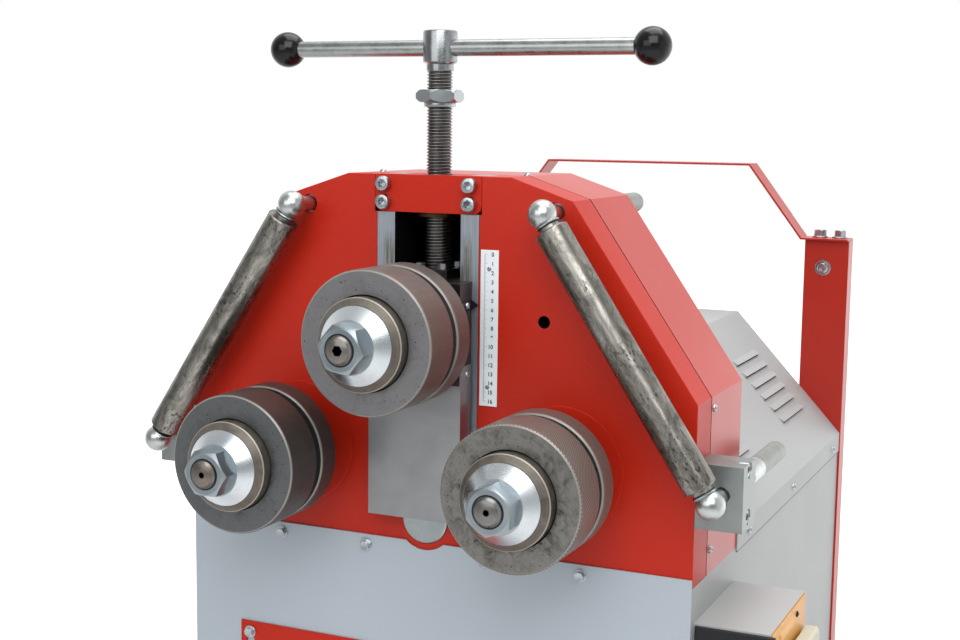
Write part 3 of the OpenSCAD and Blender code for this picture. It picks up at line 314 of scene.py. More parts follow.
def shaft_steel(name, centre, light, dark, front):
    """Turned shaft end: rings about its axis, shaded as a low dome, with painted shade, near black, in its
    sunk socket.
    """
    s = Shader(name, metallic=0.9)
    r = s.radius(centre)
    sunk = s.span(s.coordinate(Y), front + 0.0004, front + 0.001)
    # Painted shade: the sunk socket is made near black
    socket = s.math("MULTIPLY", s.span(r, SOCKET_R + 0.0002, SOCKET_R - 0.0002), sunk)
    dome = s.math("MULTIPLY", s.math("MULTIPLY", r, r), -6400.0)
    rings = s.lines(r, 1400, 3)
    cloud = s.noise(s.place(), 70, 4, 0.6)
    tone = s.mix(s.span(rings, 0.35, 0.7), dark, light)
    s.set(
        base_color=s.mix(socket, s.mix(s.span(cloud, 0.4, 0.75, 0, 0.4), tone, dark), srgb(14, 14, 16)),
        roughness=s.span(cloud, 0.3, 0.7, 0.26, 0.36),
        normal=s.bump(rings, 0.00004, 0.6, s.bump(dome, 0.0022)),
    )
    return s.material


def rod_zinc(name):
    """Plated ball and rod; the sleeve behind the head is plain and duller."""
    s = Shader(name)
    behind = s.span(s.coordinate(Y), HEAD.y + SLEEVE_Y - 0.001, HEAD.y + SLEEVE_Y)
    cloud = s.noise(s.place(), 70, 5, 0.6, 0.6)
    marks = s.noise(s.place(scale=(300, 40, 300)), 3, 3, 0.6)
    front = s.mix(s.span(cloud, 0.3, 0.7), srgb(178, 183, 182), srgb(200, 204, 203))
    plain = s.mix(s.span(cloud, 0.3, 0.7), srgb(136, 139, 136), srgb(156, 159, 155))
    s.set(
        base_color=s.mix(behind, front, plain),
        metallic=s.span(behind, 0, 1, 1.0, 0.6),
        roughness=s.math("ADD", s.span(behind, 0, 1, 0.27, 0.42), s.span(marks, 0.3, 0.7, 0, 0.06)),
        normal=s.bump(marks, 0.00001, 0.5),
    )
    return s.material


def turned_zinc(name, centre, seat):
    """Bright plated turning, brushed around so that its cone shows bands, with a duller nut."""
    s = Shader(name, metallic=1.0, anisotropic=0.5)
    nut = s.span(s.coordinate(Y), seat + 0.0002, seat - 0.0002)
    r = s.radius(centre)
    rings = s.lines(r, 1800, 2)
    cloud = s.noise(s.place(), 30, 2, 0.5)
    tone = s.mix(s.span(cloud, 0.3, 0.7), srgb(206, 214, 219), srgb(222, 228, 231))
    tone = s.mix(s.math("MULTIPLY", s.span(rings, 0.45, 0.8), 0.25), tone, srgb(186, 195, 201))
    s.set(
        base_color=s.mix(nut, tone, s.mix(cloud, srgb(140, 151, 157), srgb(166, 175, 180))),
        roughness=s.math("ADD", s.span(cloud, 0.3, 0.7, 0.24, 0.3), s.math("MULTIPLY", nut, 0.08)),
        normal=s.bump(rings, 0.000006, 0.4),
        tangent=s.node("Tangent", direction_type="RADIAL", axis="Y").outputs[0],
    )
    return s.material


def mottled_tube(name, tilt):
    """Roller tube: grey steel with mill scale, oil, dark specks and scratches along its length."""
    s = Shader(name, metallic=1.0)
    turn = (0, tilt, 0)
    streak = s.noise(s.place(scale=(1, 1, 0.16), turn=turn), 300, 5, 0.7, 0.2)
    blot = s.noise(s.place(scale=(1, 1, 0.4), turn=turn), 60, 7, 0.74, 0.9)
    speck = s.noise(s.place(scale=(1, 1, 0.5), turn=turn), 380, 3, 0.6)
    patch = s.noise(s.place(turn=turn), 22, 3, 0.5)
    tone = s.mix(s.span(streak, 0.3, 0.7), srgb(142, 139, 132), srgb(176, 173, 165))
    tone = s.mix(s.span(blot, 0.42, 0.64, 0, 0.85), tone, srgb(82, 80, 76))
    dots = s.math("MULTIPLY", s.span(speck, 0.54, 0.62), s.span(patch, 0.42, 0.56))
    tone = s.mix(s.math("MULTIPLY", dots, 0.8), tone, srgb(56, 54, 51))
    s.set(
        base_color=tone,
        roughness=s.span(blot, 0.35, 0.7, 0.24, 0.4),
        normal=s.bump(s.math("ADD", streak, speck), 0.00002, 0.5),
    )
    return s.material


def rail_steel(name):
    """Ground rail: bluish grey, with grease and wear where the carriage slides, and painted shade, near
    black, on its faces that look along X.
    """
    s = Shader(name, metallic=0.65)
    draw = s.noise(s.place(scale=(380, 380, 5)), 3, 4, 0.6)
    drip = s.noise(s.place(scale=(150, 150, 8)), 3, 4, 0.65)
    cloud = s.noise(s.place(), 16, 3, 0.5)
    across = s.math("ABSOLUTE", s.coordinate(X))
    lane = s.math("MULTIPLY", s.span(across, 0.0385, 0.043), s.span(across, 0.0555, 0.052))
    worn = s.math("MULTIPLY", lane, s.span(s.coordinate(Z), HEAD.z + 0.25, HEAD.z + 0.22))
    tone = s.mix(s.span(draw, 0.3, 0.7), srgb(140, 148, 158), srgb(170, 177, 186))
    tone = s.mix(s.math("MULTIPLY", worn, s.span(drip, 0.36, 0.56)), tone, srgb(114, 114, 104))
    tone = s.mix(s.math("MULTIPLY", worn, s.span(drip, 0.5, 0.62, 0, 0.9)), tone, srgb(108, 102, 62))
    # Painted shade: the faces that look along X, the rail's sides in the slot, are made near black
    tone = s.mix(s.span(s.steepness(X), 0.6, 0.8), tone, srgb(24, 25, 28))
    s.set(
        base_color=tone,
        roughness=s.span(cloud, 0.3, 0.7, 0.36, 0.48),
        normal=s.bump(draw, 0.00003, 0.5),
    )
    return s.material


def thread_steel(name):
    """Dark oiled screw whose crests are worn pale."""
    s = Shader(name, metallic=1.0)
    r = s.radius(row((0, SCREW_Y, 0)), (1, 1, 0))
    cloud = s.noise(s.place(), 90, 4, 0.6)
    flank = s.mix(s.span(cloud, 0.3, 0.7), srgb(94, 92, 91), srgb(120, 117, 116))
    s.set(
        base_color=s.mix(s.span(r, 0.0134, 0.01405), flank, srgb(168, 165, 163)),
        roughness=s.span(cloud, 0.3, 0.7, 0.3, 0.42),
    )
    return s.material


red_textured = paint("red_textured", srgb(186, 33, 8), 520, 0.0002, 0.46, specular=0.25)
plate_red = paint("plate_red", srgb(186, 33, 8), 520, 0.0002, 0.42, specular=0.32, shade=in_slot)
cover_red = paint("cover_red", srgb(181, 34, 14), 300, 0.00008, 0.34, coat=0.1, dust=0.03, shade=in_cover)
red_sheet = paint("red_sheet", srgb(175, 33, 13), 300, 0.00008, 0.34, coat=0.1, dust=0.03)
panel_paint = paint("panel_paint", srgb(172, 182, 191), 420, 0.00006, 0.42, dust=0.03)
light_paint = paint("light_paint", srgb(170, 172, 172), 420, 0.00006, 0.44, dust=0.03, specular=0.3)
# Painted light: the cabinet's light paint, made lighter on the control box so that its top is as light as
# the cabinet side
lit_box_paint = paint("lit_box_paint", srgb(177, 179, 178), 420, 0.00006, 0.44, dust=0.03)
dark_paint = paint("dark_paint", srgb(96, 98, 102), 380, 0.0001, 0.5, dust=0.08)
# Painted shadow: the grey of the dark strip under the hood's lower edge
hood_shadow_paint = paint("hood_shadow_paint", srgb(112, 114, 116), 380, 0.0001, 0.5, dust=0.08)
cast_paint = paint("cast_paint", srgb(92, 96, 100), 160, 0.0005, 0.6, dust=0.1)
amber_paint = paint("amber_paint", srgb(222, 156, 52), 420, 0.00006, 0.38, dust=0.03)
beige_plastic = paint("beige_plastic", srgb(196, 192, 172), 420, 0.00005, 0.42, dust=0.03)
black_plastic = paint("black_plastic", srgb(12, 12, 14), 260, 0.00003, 0.2, dust=0.15, specular=0.35)
black_matt = paint("black_matt", srgb(20, 21, 27), 500, 0.00006, 0.4, dust=0.1, specular=0.35)
ink = paint("ink", srgb(28, 33, 36), 900, 0.00002, 0.6, dust=0.1)
tick_ink = paint("tick_ink", srgb(124, 138, 144), 900, 0.00002, 0.6, dust=0.1)
scale_face = paint("scale_face", srgb(234, 241, 245), 700, 0.00002, 0.28, dust=0.02)

zinc = metal("zinc", srgb(194, 200, 203), srgb(168, 175, 179), 0.27, mottle=50, depth=0.00001)
nut_zinc = metal("nut_zinc", srgb(178, 184, 186), srgb(158, 164, 167), 0.32, depth=0.000004, fleck=0.2)
bright_zinc = metal("bright_zinc", srgb(180, 188, 189), srgb(154, 162, 164), 0.24, depth=0.000004, fleck=0.2)
ball_zinc = rod_zinc("ball_zinc")
block_zinc = metal("block_zinc", srgb(168, 173, 171), srgb(134, 140, 139), 0.44, mottle=22)
neck_steel = metal("neck_steel", srgb(178, 176, 170), srgb(120, 118, 112), 0.34, mottle=90)
bar_steel = metal("bar_steel", srgb(178, 182, 181), srgb(140, 144, 143), 0.3, (4, 240, 240), mottle=70)
dark_steel = metal("dark_steel", srgb(112, 104, 101), srgb(72, 66, 65), 0.38, mottle=40)
head_steel = metal("head_steel", srgb(168, 172, 174), srgb(138, 141, 143), 0.26, mottle=90, fleck=0.25)
sheet_steel = metal("sheet_steel", srgb(172, 173, 175), srgb(146, 148, 151), 0.46, (60, 60, 20), mottle=14)
bronze = metal("bronze", srgb(84, 68, 46), srgb(52, 42, 30), 0.44)
gear_steel = metal("gear_steel", srgb(150, 150, 150), srgb(104, 102, 100), 0.36)
rail_face = rail_steel("rail_face")
screw_steel = thread_steel("screw_steel")

# Finishes of the CAD nodes that stay in view


def dress(material, slot, *names):
    for name in names:
        mesh = nodes[name].data
        mesh.materials.clear()
        mesh.materials.append(material)


dress(plate_red, "red_paint", "front_plate")
dress(red_textured, "red_paint", "top_bridge", "bearing_caps", "access_panel")
dress(cover_red, "red_paint", "head_cover")
dress(red_sheet, "red_paint", "rear_posts", "arch_bar")
dress(panel_paint, "panel_paint", "front_panel")
dress(light_paint, "light_paint", "cabinet_shell", "motor_hood")
dress(lit_box_paint, "light_paint", "control_box")
dress(dark_paint, "dark_paint", "base_plate", "cabinet_frame")
dress(cast_paint, "cast_grey", "gear_case", "gearbox", "motor")
dress(amber_paint, "amber_paint", "switch_plate")
dress(black_plastic, "black_plastic", "switch_knob", "bar_knobs")
dress(black_matt, "black_plastic", "pointer")
dress(scale_face, "scale_plate", "scale_strip")
dress(rail_face, "ground_steel", "guide_rails")
dress(bar_steel, "zinc", "tommy_bar")
dress(nut_zinc, "zinc", "stop_nut")
dress(bright_zinc, "zinc", "stop_washer", "drive_cap")
dress(neck_steel, "zinc", "left_spindle", "right_spindle")
dress(ball_zinc, "zinc", "left_guide_rods", "right_guide_rods")
dress(block_zinc, "zinc", "guide_blocks")
dress(dark_steel, "dark_steel", "carriage_block", "screw_retainer")
dress(sheet_steel, "dark_paint", "slide_cover")
dress(bronze, "bronze", "lead_nut")
dress(screw_steel, "dark_steel", "lead_screw")
dress(gear_steel, "ground_steel", "left_gear", "right_gear", "drive_shaft", "drive_pinion")
dress(gear_steel, "ground_steel", "frame_bearings", "carriage_bearings")

for side, sign in (("left", -1), ("right", 1)):
    lean = sign * math.atan2(GUIDE_LOW.x - GUIDE_TOP.x, GUIDE_TOP.z - GUIDE_LOW.z)
    dress(mottled_tube(side + "_tube", lean), "dark_steel", side + "_roller")

# Each roll's place, its face's tone, how stained it is, how much its outer surface is painted darker or
# lighter, and its shaft end's tone. The left roll's face and outer surface are painted darker, a painted
# shade
KNURL = 0.7
rolls = (
    ("upper", 0.0, UPPER_Z, srgb(134, 134, 136), 0.3, 0.98, srgb(152, 147, 142)),
    ("left", -ROLL_X, 0.0, srgb(112, 115, 117), 0.4, 0.66, srgb(150, 140, 132)),
    ("right", ROLL_X, 0.0, srgb(136, 135, 131), 1.0, 1.04, srgb(150, 149, 147)),
)
for tag, x, z, face, stain, outer_shade, end in rolls:
    centre = row((x, 0, z))
    plain = front_finish = roll_steel(tag + "_roll_steel", centre, face, stain, outer_shade)
    if tag == "right":
        front_finish = roll_steel(tag + "_knurled_steel", centre, face, stain, outer_shade, KNURL)
    dress(front_finish, "ground_steel", tag + "_front_ring")
    dress(plain, "ground_steel", tag + "_rear_ring")
    dress(hub_steel(tag + "_hub_steel", centre), "dark_steel", tag + "_hub")
    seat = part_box(tag + "_clamp_nut")[LOW].y + NUT_DEPTH
    dress(turned_zinc(tag + "_nut_zinc", centre, seat), "zinc", tag + "_clamp_nut")
    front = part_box(tag + "_shaft")[LOW].y
    end_steel = shaft_steel(tag + "_shaft_steel", centre, end, scaled(end, 0.5), front)
    dress(end_steel, "ground_steel", tag + "_shaft")


def soften(width, *names):
    """Small rounded edges on the folded and machined CAD nodes, so that they catch the light."""
    for name in names:
        o = nodes[name]
        weld = o.modifiers.new("weld", "WELD")
        weld.merge_threshold = 0.00002
        flat = o.modifiers.new("flat", "DECIMATE")
        flat.decimate_type = "DISSOLVE"
        flat.angle_limit = math.radians(0.4)
        edge = o.modifiers.new("edge", "BEVEL")
        edge.width = width / 1000
        edge.segments = 2
        edge.limit_method = "ANGLE"
        edge.angle_limit = math.radians(40)
        edge.harden_normals = True


soften(0.9, "front_plate", "guide_blocks", "carriage_block", "top_bridge")
soften(0.5, "guide_rails", "screw_retainer", "rear_posts", "stop_nut", "stop_washer", "arch_bar")
soften(0.4, "access_panel", "front_panel", "scale_strip", "switch_plate")

# Pieces in mesh code


class Piece:
    """Collects lofted solids, given in head millimetres, and makes one object of them."""

    def __init__(self, name):
        self.name, self.bm = name, bmesh.new()

    def rings(self, loops, at, axis, turn=0.0):
        """Vertices for loops of local points, with local Z along axis."""
        aim = Vector((0, 0, 1)).rotation_difference(Vector(axis)).to_matrix().to_4x4()
        local = Matrix.Translation(at) @ aim @ Matrix.Rotation(turn, 4, "Z")
        return [[self.bm.verts.new(row(local @ Vector(p))) for p in loop] for loop in loops]

    def skin(self, rings, following):
        for a, b in zip(rings, following):
            for i in range(len(a)):
                j = (i + 1) % len(a)
                self.bm.faces.new((a[i], a[j], b[j], b[i]))

    def loft(self, loops, at=(0, 0, 0), axis=(0, 0, 1), turn=0.0):
        """Skins equal loops and closes both ends."""
        rings = self.rings(loops, at, axis, turn)
        self.skin(rings, rings[1:])
        self.bm.faces.new(rings[0][::-1])
        self.bm.faces.new(rings[-1])

    def tube(self, loops, at=(0, 0, 0), axis=(0, 0, 1)):
        """Skins equal loops into a closed ring, the last joined to the first."""
        rings = self.rings(loops, at, axis)
        self.skin(rings, rings[1:] + rings[:1])

    def box(self, low, high):
        (x0, y0, z0), (x1, y1, z1) = low, high
        self.loft([[(x0, y0, z), (x1, y0, z), (x1, y1, z), (x0, y1, z)] for z in (z0, z1)])

    def make(self, body, material, smooth=32):
        bmesh.ops.recalc_face_normals(self.bm, faces=self.bm.faces)
        mesh = bpy.data.meshes.new(self.name)
        self.bm.to_mesh(mesh)
        self.bm.free()
        mesh.polygons.foreach_set("use_smooth", [True] * len(mesh.polygons))
        mesh.set_sharp_from_angle(angle=math.radians(smooth))
        mesh.materials.append(material)
        o = bpy.data.objects.new(self.name, mesh)
        scene.collection.objects.link(o)
        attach(o, body)
        return o


def circle(r, z, n=SEGMENTS):
    return [(r * math.cos(2 * math.pi * i / n), r * math.sin(2 * math.pi * i / n), z) for i in range(n)]


def hexagon(flats, z):
    """Hexagon whose points are in step with those of a circle."""
    loop = []
    for i, (x, y, _) in enumerate(circle(1, z)):
        r = flats / 2 / math.cos(math.radians((360 * i / SEGMENTS) % 60 - 30))
        loop.append((r * x, r * y, z))
    return loop


def rounded(half_y, half_z, r, x):
    """Rounded rectangle seen along X, its points in step with those of a circle."""
    loop = []
    for y, z, _ in circle(1, 0):
        side_y, side_z = math.copysign(half_y - r, y), math.copysign(half_z - r, z)
        loop.append((x, side_y + r * y, side_z + r * z))
    return loop


def round_hole(r, x):
    """Circle seen along X."""
    return [(x, y, z) for y, z, _ in circle(r, 0)]


def turned(profile, n=SEGMENTS):
    """Circles for the radii and heights of a turned piece."""
    return [circle(r, z, n) for r, z in profile]


def disc(d, t, edge=0.3):
    r = d / 2
    return turned(((r - edge, 0), (r, edge), (r, t - edge), (r - edge, t)))


def hex_head(flats, h):
    """Hexagon head with the rounded corners that a cone leaves."""
    r = flats * 0.475
    shoulder = [
        (x, y, h - (math.hypot(x, y) - r) * math.tan(math.radians(30))) for x, y, _ in hexagon(flats, 0)
    ]
    return [hexagon(flats, 0), shoulder, circle(r, h), circle(r * 0.8, h - 0.15)]


def cap_head(d, h, socket):
    """Cylinder head with a hexagon socket."""
    r = d / 2
    head = turned(((r, 0), (r, h - 1), (r - 0.3, h - 0.3), (r - 1, h)))
    return head + [hexagon(socket + 0.5, h), hexagon(socket, h - 0.4), hexagon(socket, h - h * 0.85)]


def button_head(d, h, socket):
    """Low dome with a hexagon socket."""
    ball = (d * d / 4 + h * h) / (2 * h)
    rise = [h * k / 6 for k in range(5)]
    dome = [circle(math.sqrt(ball**2 - (ball - h + z) ** 2), z + 0.4) for z in rise]
    top = dome[-1][0][2]
    return [circle(d / 2, 0), *dome, hexagon(socket, top + 0.1), hexagon(socket, top - h * 0.45)]


def both(points):
    """The points and their mirror images."""
    return [(s * x, y, z) for x, y, z in points for s in (1, -1)]


# Small fasteners, seated on the faces of the nodes that they hold
bridge = Piece("bridge_screws")
bridge_front = reach("top_bridge", LOW, Y)
for x, z, turn in ((52, 300, 0.2), (-52, 300, 0.9), (52, 280, 0.5), (-52, 280, 1.3)):
    bridge.loft(cap_head(16, 10, 8), (x, bridge_front, z), (0, -1, 0), turn)
bridge.make("machine", zinc)

panel = Piece("panel_screws")
WASHER, INSET = 1.4, 13
panel_front, access_front = reach("front_panel", LOW, Y), reach("access_panel", LOW, Y)
access_x = (reach("access_panel", LOW, X) + INSET, reach("access_panel", HIGH, X) - INSET)
access_z = (reach("access_panel", HIGH, Z) - INSET, reach("access_panel", LOW, Z) + INSET)
places = [(x, panel_front, -112) for x in (-187, -74, 74, 187)]
places += [(x, access_front, z) for x in access_x for z in access_z]
for k, (x, y, z) in enumerate(places):
    panel.loft(disc(15, WASHER), (x, y, z), (0, -1, 0))
    panel.loft(hex_head(10, 4.4), (x, y - WASHER, z), (0, -1, 0), 0.4 * k)
panel.make("machine", zinc)

cover = Piece("cover_screws")
cover_side, cover_top = reach("head_cover", HIGH, X), reach("head_cover", HIGH, Z)
for k, (x, y, z) in enumerate(both([(cover_side, 62, 71), (cover_side, 62, -83)])):
    cover.loft(button_head(8.6, 3.4, 3.6), (x, y, z), (math.copysign(1, x), 0, 0), 0.5 * k)
for x in (-90, 90):
    cover.loft(button_head(8.6, 3.4, 3.6), (x, 65, cover_top), (0, 0, 1), 0.7)
cover.make("machine", zinc)

hood = Piece("hood_screws")
hood_side, hood_back = reach("motor_hood", HIGH, X), reach("motor_hood", HIGH, Y)
places = [(hood_side, y, z) for y, z in ((225, -102), (455, -102), (713, -103))]
for k, (x, y, z) in enumerate(both(places)):
    hood.loft(button_head(10, 3.6, 4), (x, y, z), (math.copysign(1, x), 0, 0), 0.3 * k)
for x in (-215, 0, 215):
    hood.loft(button_head(10, 3.6, 4), (x, hood_back, -102), (0, 1, 0), 0.4)
hood.make("machine", zinc)

block = Piece("block_screws")
COUNTERBORE = 10.8
block_seat = reach("guide_blocks", HIGH, X) - COUNTERBORE
for k, (x, y, z) in enumerate(both([(block_seat, 24, 17), (block_seat, 24, -32)])):
    block.loft(cap_head(16, 9.6, 8), (x, y, z), (math.copysign(1, x), 0, 0), 0.35 * k)
block.make("machine", zinc)

post = Piece("post_bolts")
POST_WASHER, FOOT_WASHER, ARCH_FOOT = 2.2, 2, 3
post_front, post_y = reach("rear_posts", LOW, Y), middle("rear_posts", Y)
foot_top = reach("rear_posts", HIGH, Z) + ARCH_FOOT
for k, (x, y, z) in enumerate(both([(276, post_front, 160)])):
    post.loft(disc(24, POST_WASHER, 0.6), (x, y, z), (0, -1, 0))
    post.loft(button_head(19, 6.4, 8), (x, y - POST_WASHER, z), (0, -1, 0), 0.3 + 0.4 * k)
for k, (x, y, z) in enumerate(both([(267, post_y, foot_top), (296, post_y, foot_top)])):
    post.loft(disc(23, FOOT_WASHER), (x, y, z))
    post.loft(hex_head(16, 9.5), (x, y, z + FOOT_WASHER), turn=0.45 * k)
post.make("machine", zinc)

bolts = Piece("retainer_bolts")
RETAINER_WASHER = 1.2
retainer_top = reach("screw_retainer", HIGH, Z)
for k, (x, y) in enumerate(((-13.5, 11), (13.5, 11), (-15, 45), (15, 45))):
    bolts.loft(disc(12, RETAINER_WASHER), (x, y, retainer_top))
    bolts.loft(hex_head(10, 5.4), (x, y, retainer_top + RETAINER_WASHER), turn=0.5 * k)
bolts.make("carriage", zinc)

tabs = Piece("carriage_side_screws")
tab_side = reach("slide_cover", HIGH, X)
tabs.loft(button_head(7.6, 2.8, 3.2), (tab_side, -15, 172), (1, 0, 0), 0.2)
for x in (tab_side, -tab_side):
    tabs.loft(button_head(7.6, 2.8, 3.2), (x, -15, 97), (math.copysign(1, x), 0, 0), 0.6)
tabs.make("carriage", zinc)

# Scale: ticks, plain numbers and two rivets
ink_front, ink_back = SCALE_Y - 0.06, SCALE_Y + 0.01
marks = Piece("scale_ticks")
marks.box((SCALE_X, ink_front, SCALE_ZERO - 160.1), (SCALE_X + 0.3, ink_back, SCALE_ZERO + 0.1))
for k in range(161):
    long = 3.6 if k % 10 == 0 else 2.4 if k % 5 == 0 else 1.4
    z = SCALE_ZERO - k
    marks.box((SCALE_X, ink_front, z - 0.13), (SCALE_X + long, ink_back, z + 0.13))
marks.make("machine", tick_ink)

numbers = Piece("scale_numbers")
for k in range(17):
    curve = bpy.data.curves.new("number", "FONT")
    curve.body = str(k)
    curve.size = 0.0061
    curve.extrude = 0.00004
    curve.offset = 0.00016
    curve.align_x = "RIGHT"
    curve.align_y = "CENTER"
    text = bpy.data.objects.new("number", curve)
    scene.collection.objects.link(text)
    at = row((SCALE_X + 11.2, SCALE_Y - 0.03, SCALE_ZERO - 0.4 - 10 * k))
    text.matrix_world = Matrix.Translation(at) @ Matrix.Rotation(math.pi / 2, 4, "X")
    bpy.context.view_layer.update()
    flat = bpy.data.meshes.new_from_object(text.evaluated_get(bpy.context.evaluated_depsgraph_get()))
    flat.transform(text.matrix_world)
    numbers.bm.from_mesh(flat)
    bpy.data.objects.remove(text)
    bpy.data.meshes.remove(flat)
    bpy.data.curves.remove(curve)
numbers.make("machine", ink)

rivets = Piece("scale_rivets")
for x, z in ((75.3, 211.6), (74.6, 82.8)):
    rivets.loft(button_head(4.6, 1.5, 1.4), (x, SCALE_Y, z), (0, -1, 0))
rivets.make("machine", block_zinc)

# Control box: bare black front plate, the beige body on the switch plate and its corner screws
fascia = Piece("box_fascia")
box_front = reach("control_box", LOW, Y)
x0, x1 = reach("control_box", LOW, X) + 2, reach("control_box", HIGH, X) + 6
z0, z1 = reach("control_box", LOW, Z) + 3, reach("control_box", HIGH, Z) - 2
fascia.loft([
    [(x0 + inset, y, z0 + inset), (x1 - inset, y, z0 + inset),
     (x1 - inset, y, z1 - inset), (x0 + inset, y, z1 - inset)]
    for inset, y in ((0, box_front), (0, box_front - 3), (1, box_front - 3.8))
])
fascia.make("machine", black_matt)

corner = Piece("switch_plate_screws")
plate_face = reach("switch_plate", HIGH, X)
for y, z in ((124, -161), (56, -294)):
    corner.loft(button_head(7, 2.4, 3), (plate_face, y, z), (1, 0, 0))
corner.make("machine", black_plastic)

rib = Piece("switch_plate_rib")
rib.loft([
    [(x, y0, -168), (x, y1, -168), (x, y1, z), (x, y0, z)]
    for x, y0, y1, z in ((plate_face, 44, 106, -159), (plate_face + 1.6, 46, 104, -162))
])
rib.make("machine", amber_paint)

housing = Piece("switch_body")
housing.tube(
    [rounded(73, 42, 8, 395.6), rounded(75, 44, 9, 397), rounded(75, 44, 9, 408), rounded(72, 41, 8, 411)]
    + [round_hole(36, 411), round_hole(35, 410), round_hole(35, 396.6), round_hole(36, 395.6)],
    (0, 91, -227.5),
)
housing.make("machine", beige_plastic)

# Painted shadow: a dark strip under the lower edge of the hood, where its flange casts a shadow
hood_shadow = Piece("hood_shadow_strip")
hood_front, hood_low = reach("motor_hood", LOW, Y), reach("motor_hood", LOW, Z)
for sign in (-1, 1):
    x0, x1 = sorted((sign * 309.5, sign * 311.2))
    hood_shadow.box((x0, hood_front + 2, hood_low - 2), (x1, hood_back - 2, hood_low + 0.2))
hood_shadow.make("machine", hood_shadow_paint)

# Dark ring between each clamp nut and its shaft: the gap between them, and painted shade in the nut's bore
# chamfer
nut_profile = ((15.3, 0), (16.9, 0), (16.7, 0.25), (15.3, 0.25))
for tag, body, x, z in (
    ("upper", "upper_roll", 0, UPPER_Z),
    ("left", "lower_left_roll", -ROLL_X, 0),
    ("right", "lower_right_roll", ROLL_X, 0),
):
    gap_and_shade = Piece(tag + "_nut_gap_and_shade")
    gap_and_shade.tube(turned(nut_profile), (x, reach(tag + "_clamp_nut", LOW, Y), z), (0, -1, 0))
    gap_and_shade.make(body, black_matt)

# Rings between the ball ends and the roller tubes, and beside them dark rings of painted shade where the
# gaps are
ring_profile = ((11.1, 0), (13.1, 0.1), (13.4, 0.5), (13.4, 1.1), (13.1, 1.6), (11.1, 1.6))
gap_shade_profile = ((11.1, 0), (12.3, 0), (12.5, 0.5), (12.3, 1.1), (11.1, 1.1))
for side, sign in (("left", -1), ("right", 1)):
    top, low = (Vector((sign * p.x, p.y, p.z)) for p in (GUIDE_TOP, GUIDE_LOW))
    along = (low - top).normalized()
    length = (low - top).length
    rings = Piece(side + "_guide_rings")
    for start in (10.9, length - 12.5):
        rings.tube(turned(ring_profile), top + along * start, along)
    rings.make(side + "_guide", zinc)
    gap_shades = Piece(side + "_guide_gap_shades")
    for start in (12.8, length - 13.9):
        gap_shades.tube(turned(gap_shade_profile), top + along * start, along)
    gap_shades.make(side + "_guide", black_matt)

# Lead screw with its thread, which stands for the plain CAD screw
PITCH, PER_TURN, THREAD_LOW, THREAD_TOP = 3.5, 44, 190.0, 428.0
CREST, ROOT = 14.22, 12.2
screw = Piece("threaded_screw")
shape = ((0.0, ROOT), (0.16, ROOT), (0.5, CREST), (0.66, CREST))
steps = int((THREAD_TOP - THREAD_LOW - PITCH) / PITCH * PER_TURN)
grid = []
for i in range(steps + 1):
    angle = 2 * math.pi * i / PER_TURN
    flank = []
    for share, r in shape:
        z = THREAD_LOW + PITCH * (i / PER_TURN + share)
        flank.append(screw.bm.verts.new(row((r * math.cos(angle), SCREW_Y + r * math.sin(angle), z))))
    grid.append(flank)
for i in range(steps):
    for j in range(len(shape) - 1):
        screw.bm.faces.new((grid[i][j], grid[i + 1][j], grid[i + 1][j + 1], grid[i][j + 1]))
    if i + 1 + PER_TURN <= steps:
        screw.bm.faces.new((grid[i][-1], grid[i + 1][-1], grid[i + 1 + PER_TURN][0], grid[i + PER_TURN][0]))
bmesh.ops.holes_fill(screw.bm, edges=[e for e in screw.bm.edges if e.is_boundary])
collar_profile = ((16.5, 182), (17, 182.5), (17, 196.2), (16.5, 196.7))
screw.loft(turned(collar_profile), (0, SCREW_Y, 0))
threaded = screw.make("lead_screw", screw_steel, 50)
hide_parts("lead_screw")

# Head of the screw, bored across for the bar
head_profile = (
    (14.3, 422.4), (14.85, 423), (14.85, 429.4), (15.6, 429.9), (18.2, 431.4),
    (18.75, 432), (18.75, 463.4), (18.2, 465.2), (16.4, 466), (6, 466),
)
head_piece = Piece("screw_head")
head_piece.loft(turned(head_profile, 96), (0, SCREW_Y, 0))
screw_head = head_piece.make("lead_screw", head_steel)
hole = Piece("head_hole")
hole.loft(turned(((9.05, -30), (9.05, 30)), 64), (0, SCREW_Y, middle("tommy_bar", Z)), (1, 0, 0))
cutter = hole.make("lead_screw", head_steel)
cut = screw_head.modifiers.new("hole", "BOOLEAN")
cut.object = cutter
cut.solver = "EXACT"
bpy.context.view_layer.update()
bored = bpy.data.meshes.new_from_object(screw_head.evaluated_get(bpy.context.evaluated_depsgraph_get()))
screw_head.modifiers.clear()
screw_head.data = bored
bored.set_sharp_from_angle(angle=math.radians(32))
bpy.data.objects.remove(cutter)

# Floor, light and camera
mesh = bpy.data.meshes.new("floor")
mesh.from_pydata([(-20, -20, 0), (20, -20, 0), (20, 20, 0), (-20, 20, 0)], [], [(0, 1, 2, 3)])
ground = bpy.data.objects.new("floor", mesh)
scene.collection.objects.link(ground)
pale = Shader("pale_floor", base_color=(0.86, 0.86, 0.86, 1), roughness=0.9, emission_color=(1, 1, 1, 1))
glow = pale.span(pale.radius((0, 0, 0), (1, 1, 0)), 1.0, 3.0, 0.12, 0.8)
backdrop = pale.span(pale.coordinate(Y), 0.0, 0.5)
pale.set(emission_strength=pale.math("MULTIPLY", glow, pale.sight(backdrop)))
mesh.materials.append(pale.material)

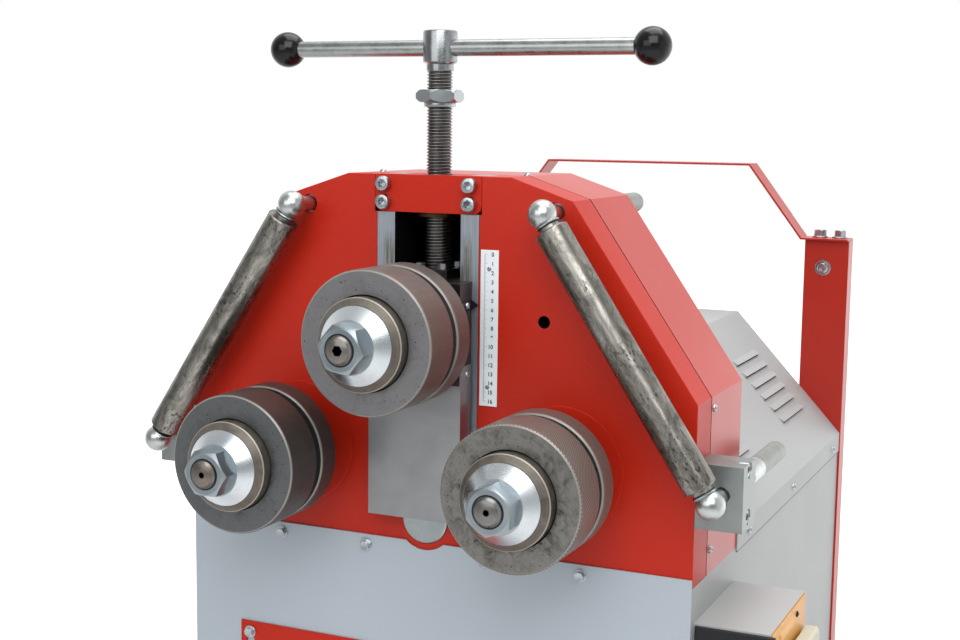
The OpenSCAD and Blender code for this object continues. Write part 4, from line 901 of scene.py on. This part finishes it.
# The room is brightest behind the machine and overhead. It is white for the camera, and for mirrored and
# transmitted rays that leave towards the backdrop
scene.world = bpy.data.worlds.new("studio")
sky = Nodes(scene.world)
way = sky.node("SeparateXYZ", {"Vector": sky.node("TexCoord").outputs["Generated"]}).outputs
glow = sky.math("MULTIPLY_ADD", way["Z"], 0.2, sky.math("MULTIPLY_ADD", way["Y"], 0.4, 0.55))
soft = sky.node("Background", {"Strength": sky.math("MAXIMUM", glow, 0.15)})
white = sky.node("Background", {"Color": (1, 1, 1, 1), "Strength": 1.0})
backdrop = sky.span(way["Y"], 0.0, 0.25)
choose = sky.node("MixShader", {0: sky.sight(backdrop), 1: soft.outputs[0], 2: white.outputs[0]})
sky.node("OutputWorld", {"Surface": choose.outputs[0]})


def lamp(name, at, aim, size, power):
    light = bpy.data.lights.new(name, "AREA")
    light.shape = "RECTANGLE"
    light.size, light.size_y = size
    light.energy = power
    o = bpy.data.objects.new(name, light)
    o.location = at
    o.rotation_euler = (Vector(aim) - Vector(at)).to_track_quat("-Z", "Y").to_euler()
    scene.collection.objects.link(o)


lamp("key", (0.9, -2.1, 2.7), (0, -0.35, 1.05), (2.0, 1.8), 42)
lamp("fill", (-0.6, -3.2, 2.0), (0, -0.35, 1.05), (2.4, 1.6), 22)
lamp("side", (3.4, -1.2, 1.5), (0.1, -0.1, 0.9), (1.6, 2.4), 5)
lamp("top", (0.3, 0.3, 3.8), (0.2, 0.2, 1.0), (2.6, 2.6), 66)
lamp("back", (3.2, 4.4, 1.2), (0.2, 0.2, 0.9), (5.0, 2.2), 20)

# Camera as solved from the photograph: angles in degrees, place in head millimetres
AZIMUTH, ELEVATION, ROLL = (math.radians(d) for d in (24.648, 7.626, 0.711))
CAMERA_AT = (718.97, -1426.36, 365.69)
LENS = 54.926

camera = bpy.data.objects.new("camera", bpy.data.cameras.new("camera"))
scene.collection.objects.link(camera)
scene.camera = camera
level = math.cos(ELEVATION)
back = Vector((math.sin(AZIMUTH) * level, -math.cos(AZIMUTH) * level, math.sin(ELEVATION)))
right = (-back).cross(Vector((0, 0, 1))).normalized()
up = right.cross(-back)
across = right * math.cos(ROLL) + up * math.sin(ROLL)
upward = up * math.cos(ROLL) - right * math.sin(ROLL)
turn = Matrix((across, upward, back)).transposed().to_4x4()
camera.matrix_world = Matrix.Translation(row(CAMERA_AT)) @ turn
camera.data.lens = LENS
camera.data.sensor_width = 36
camera.data.clip_start, camera.data.clip_end = 0.05, 100
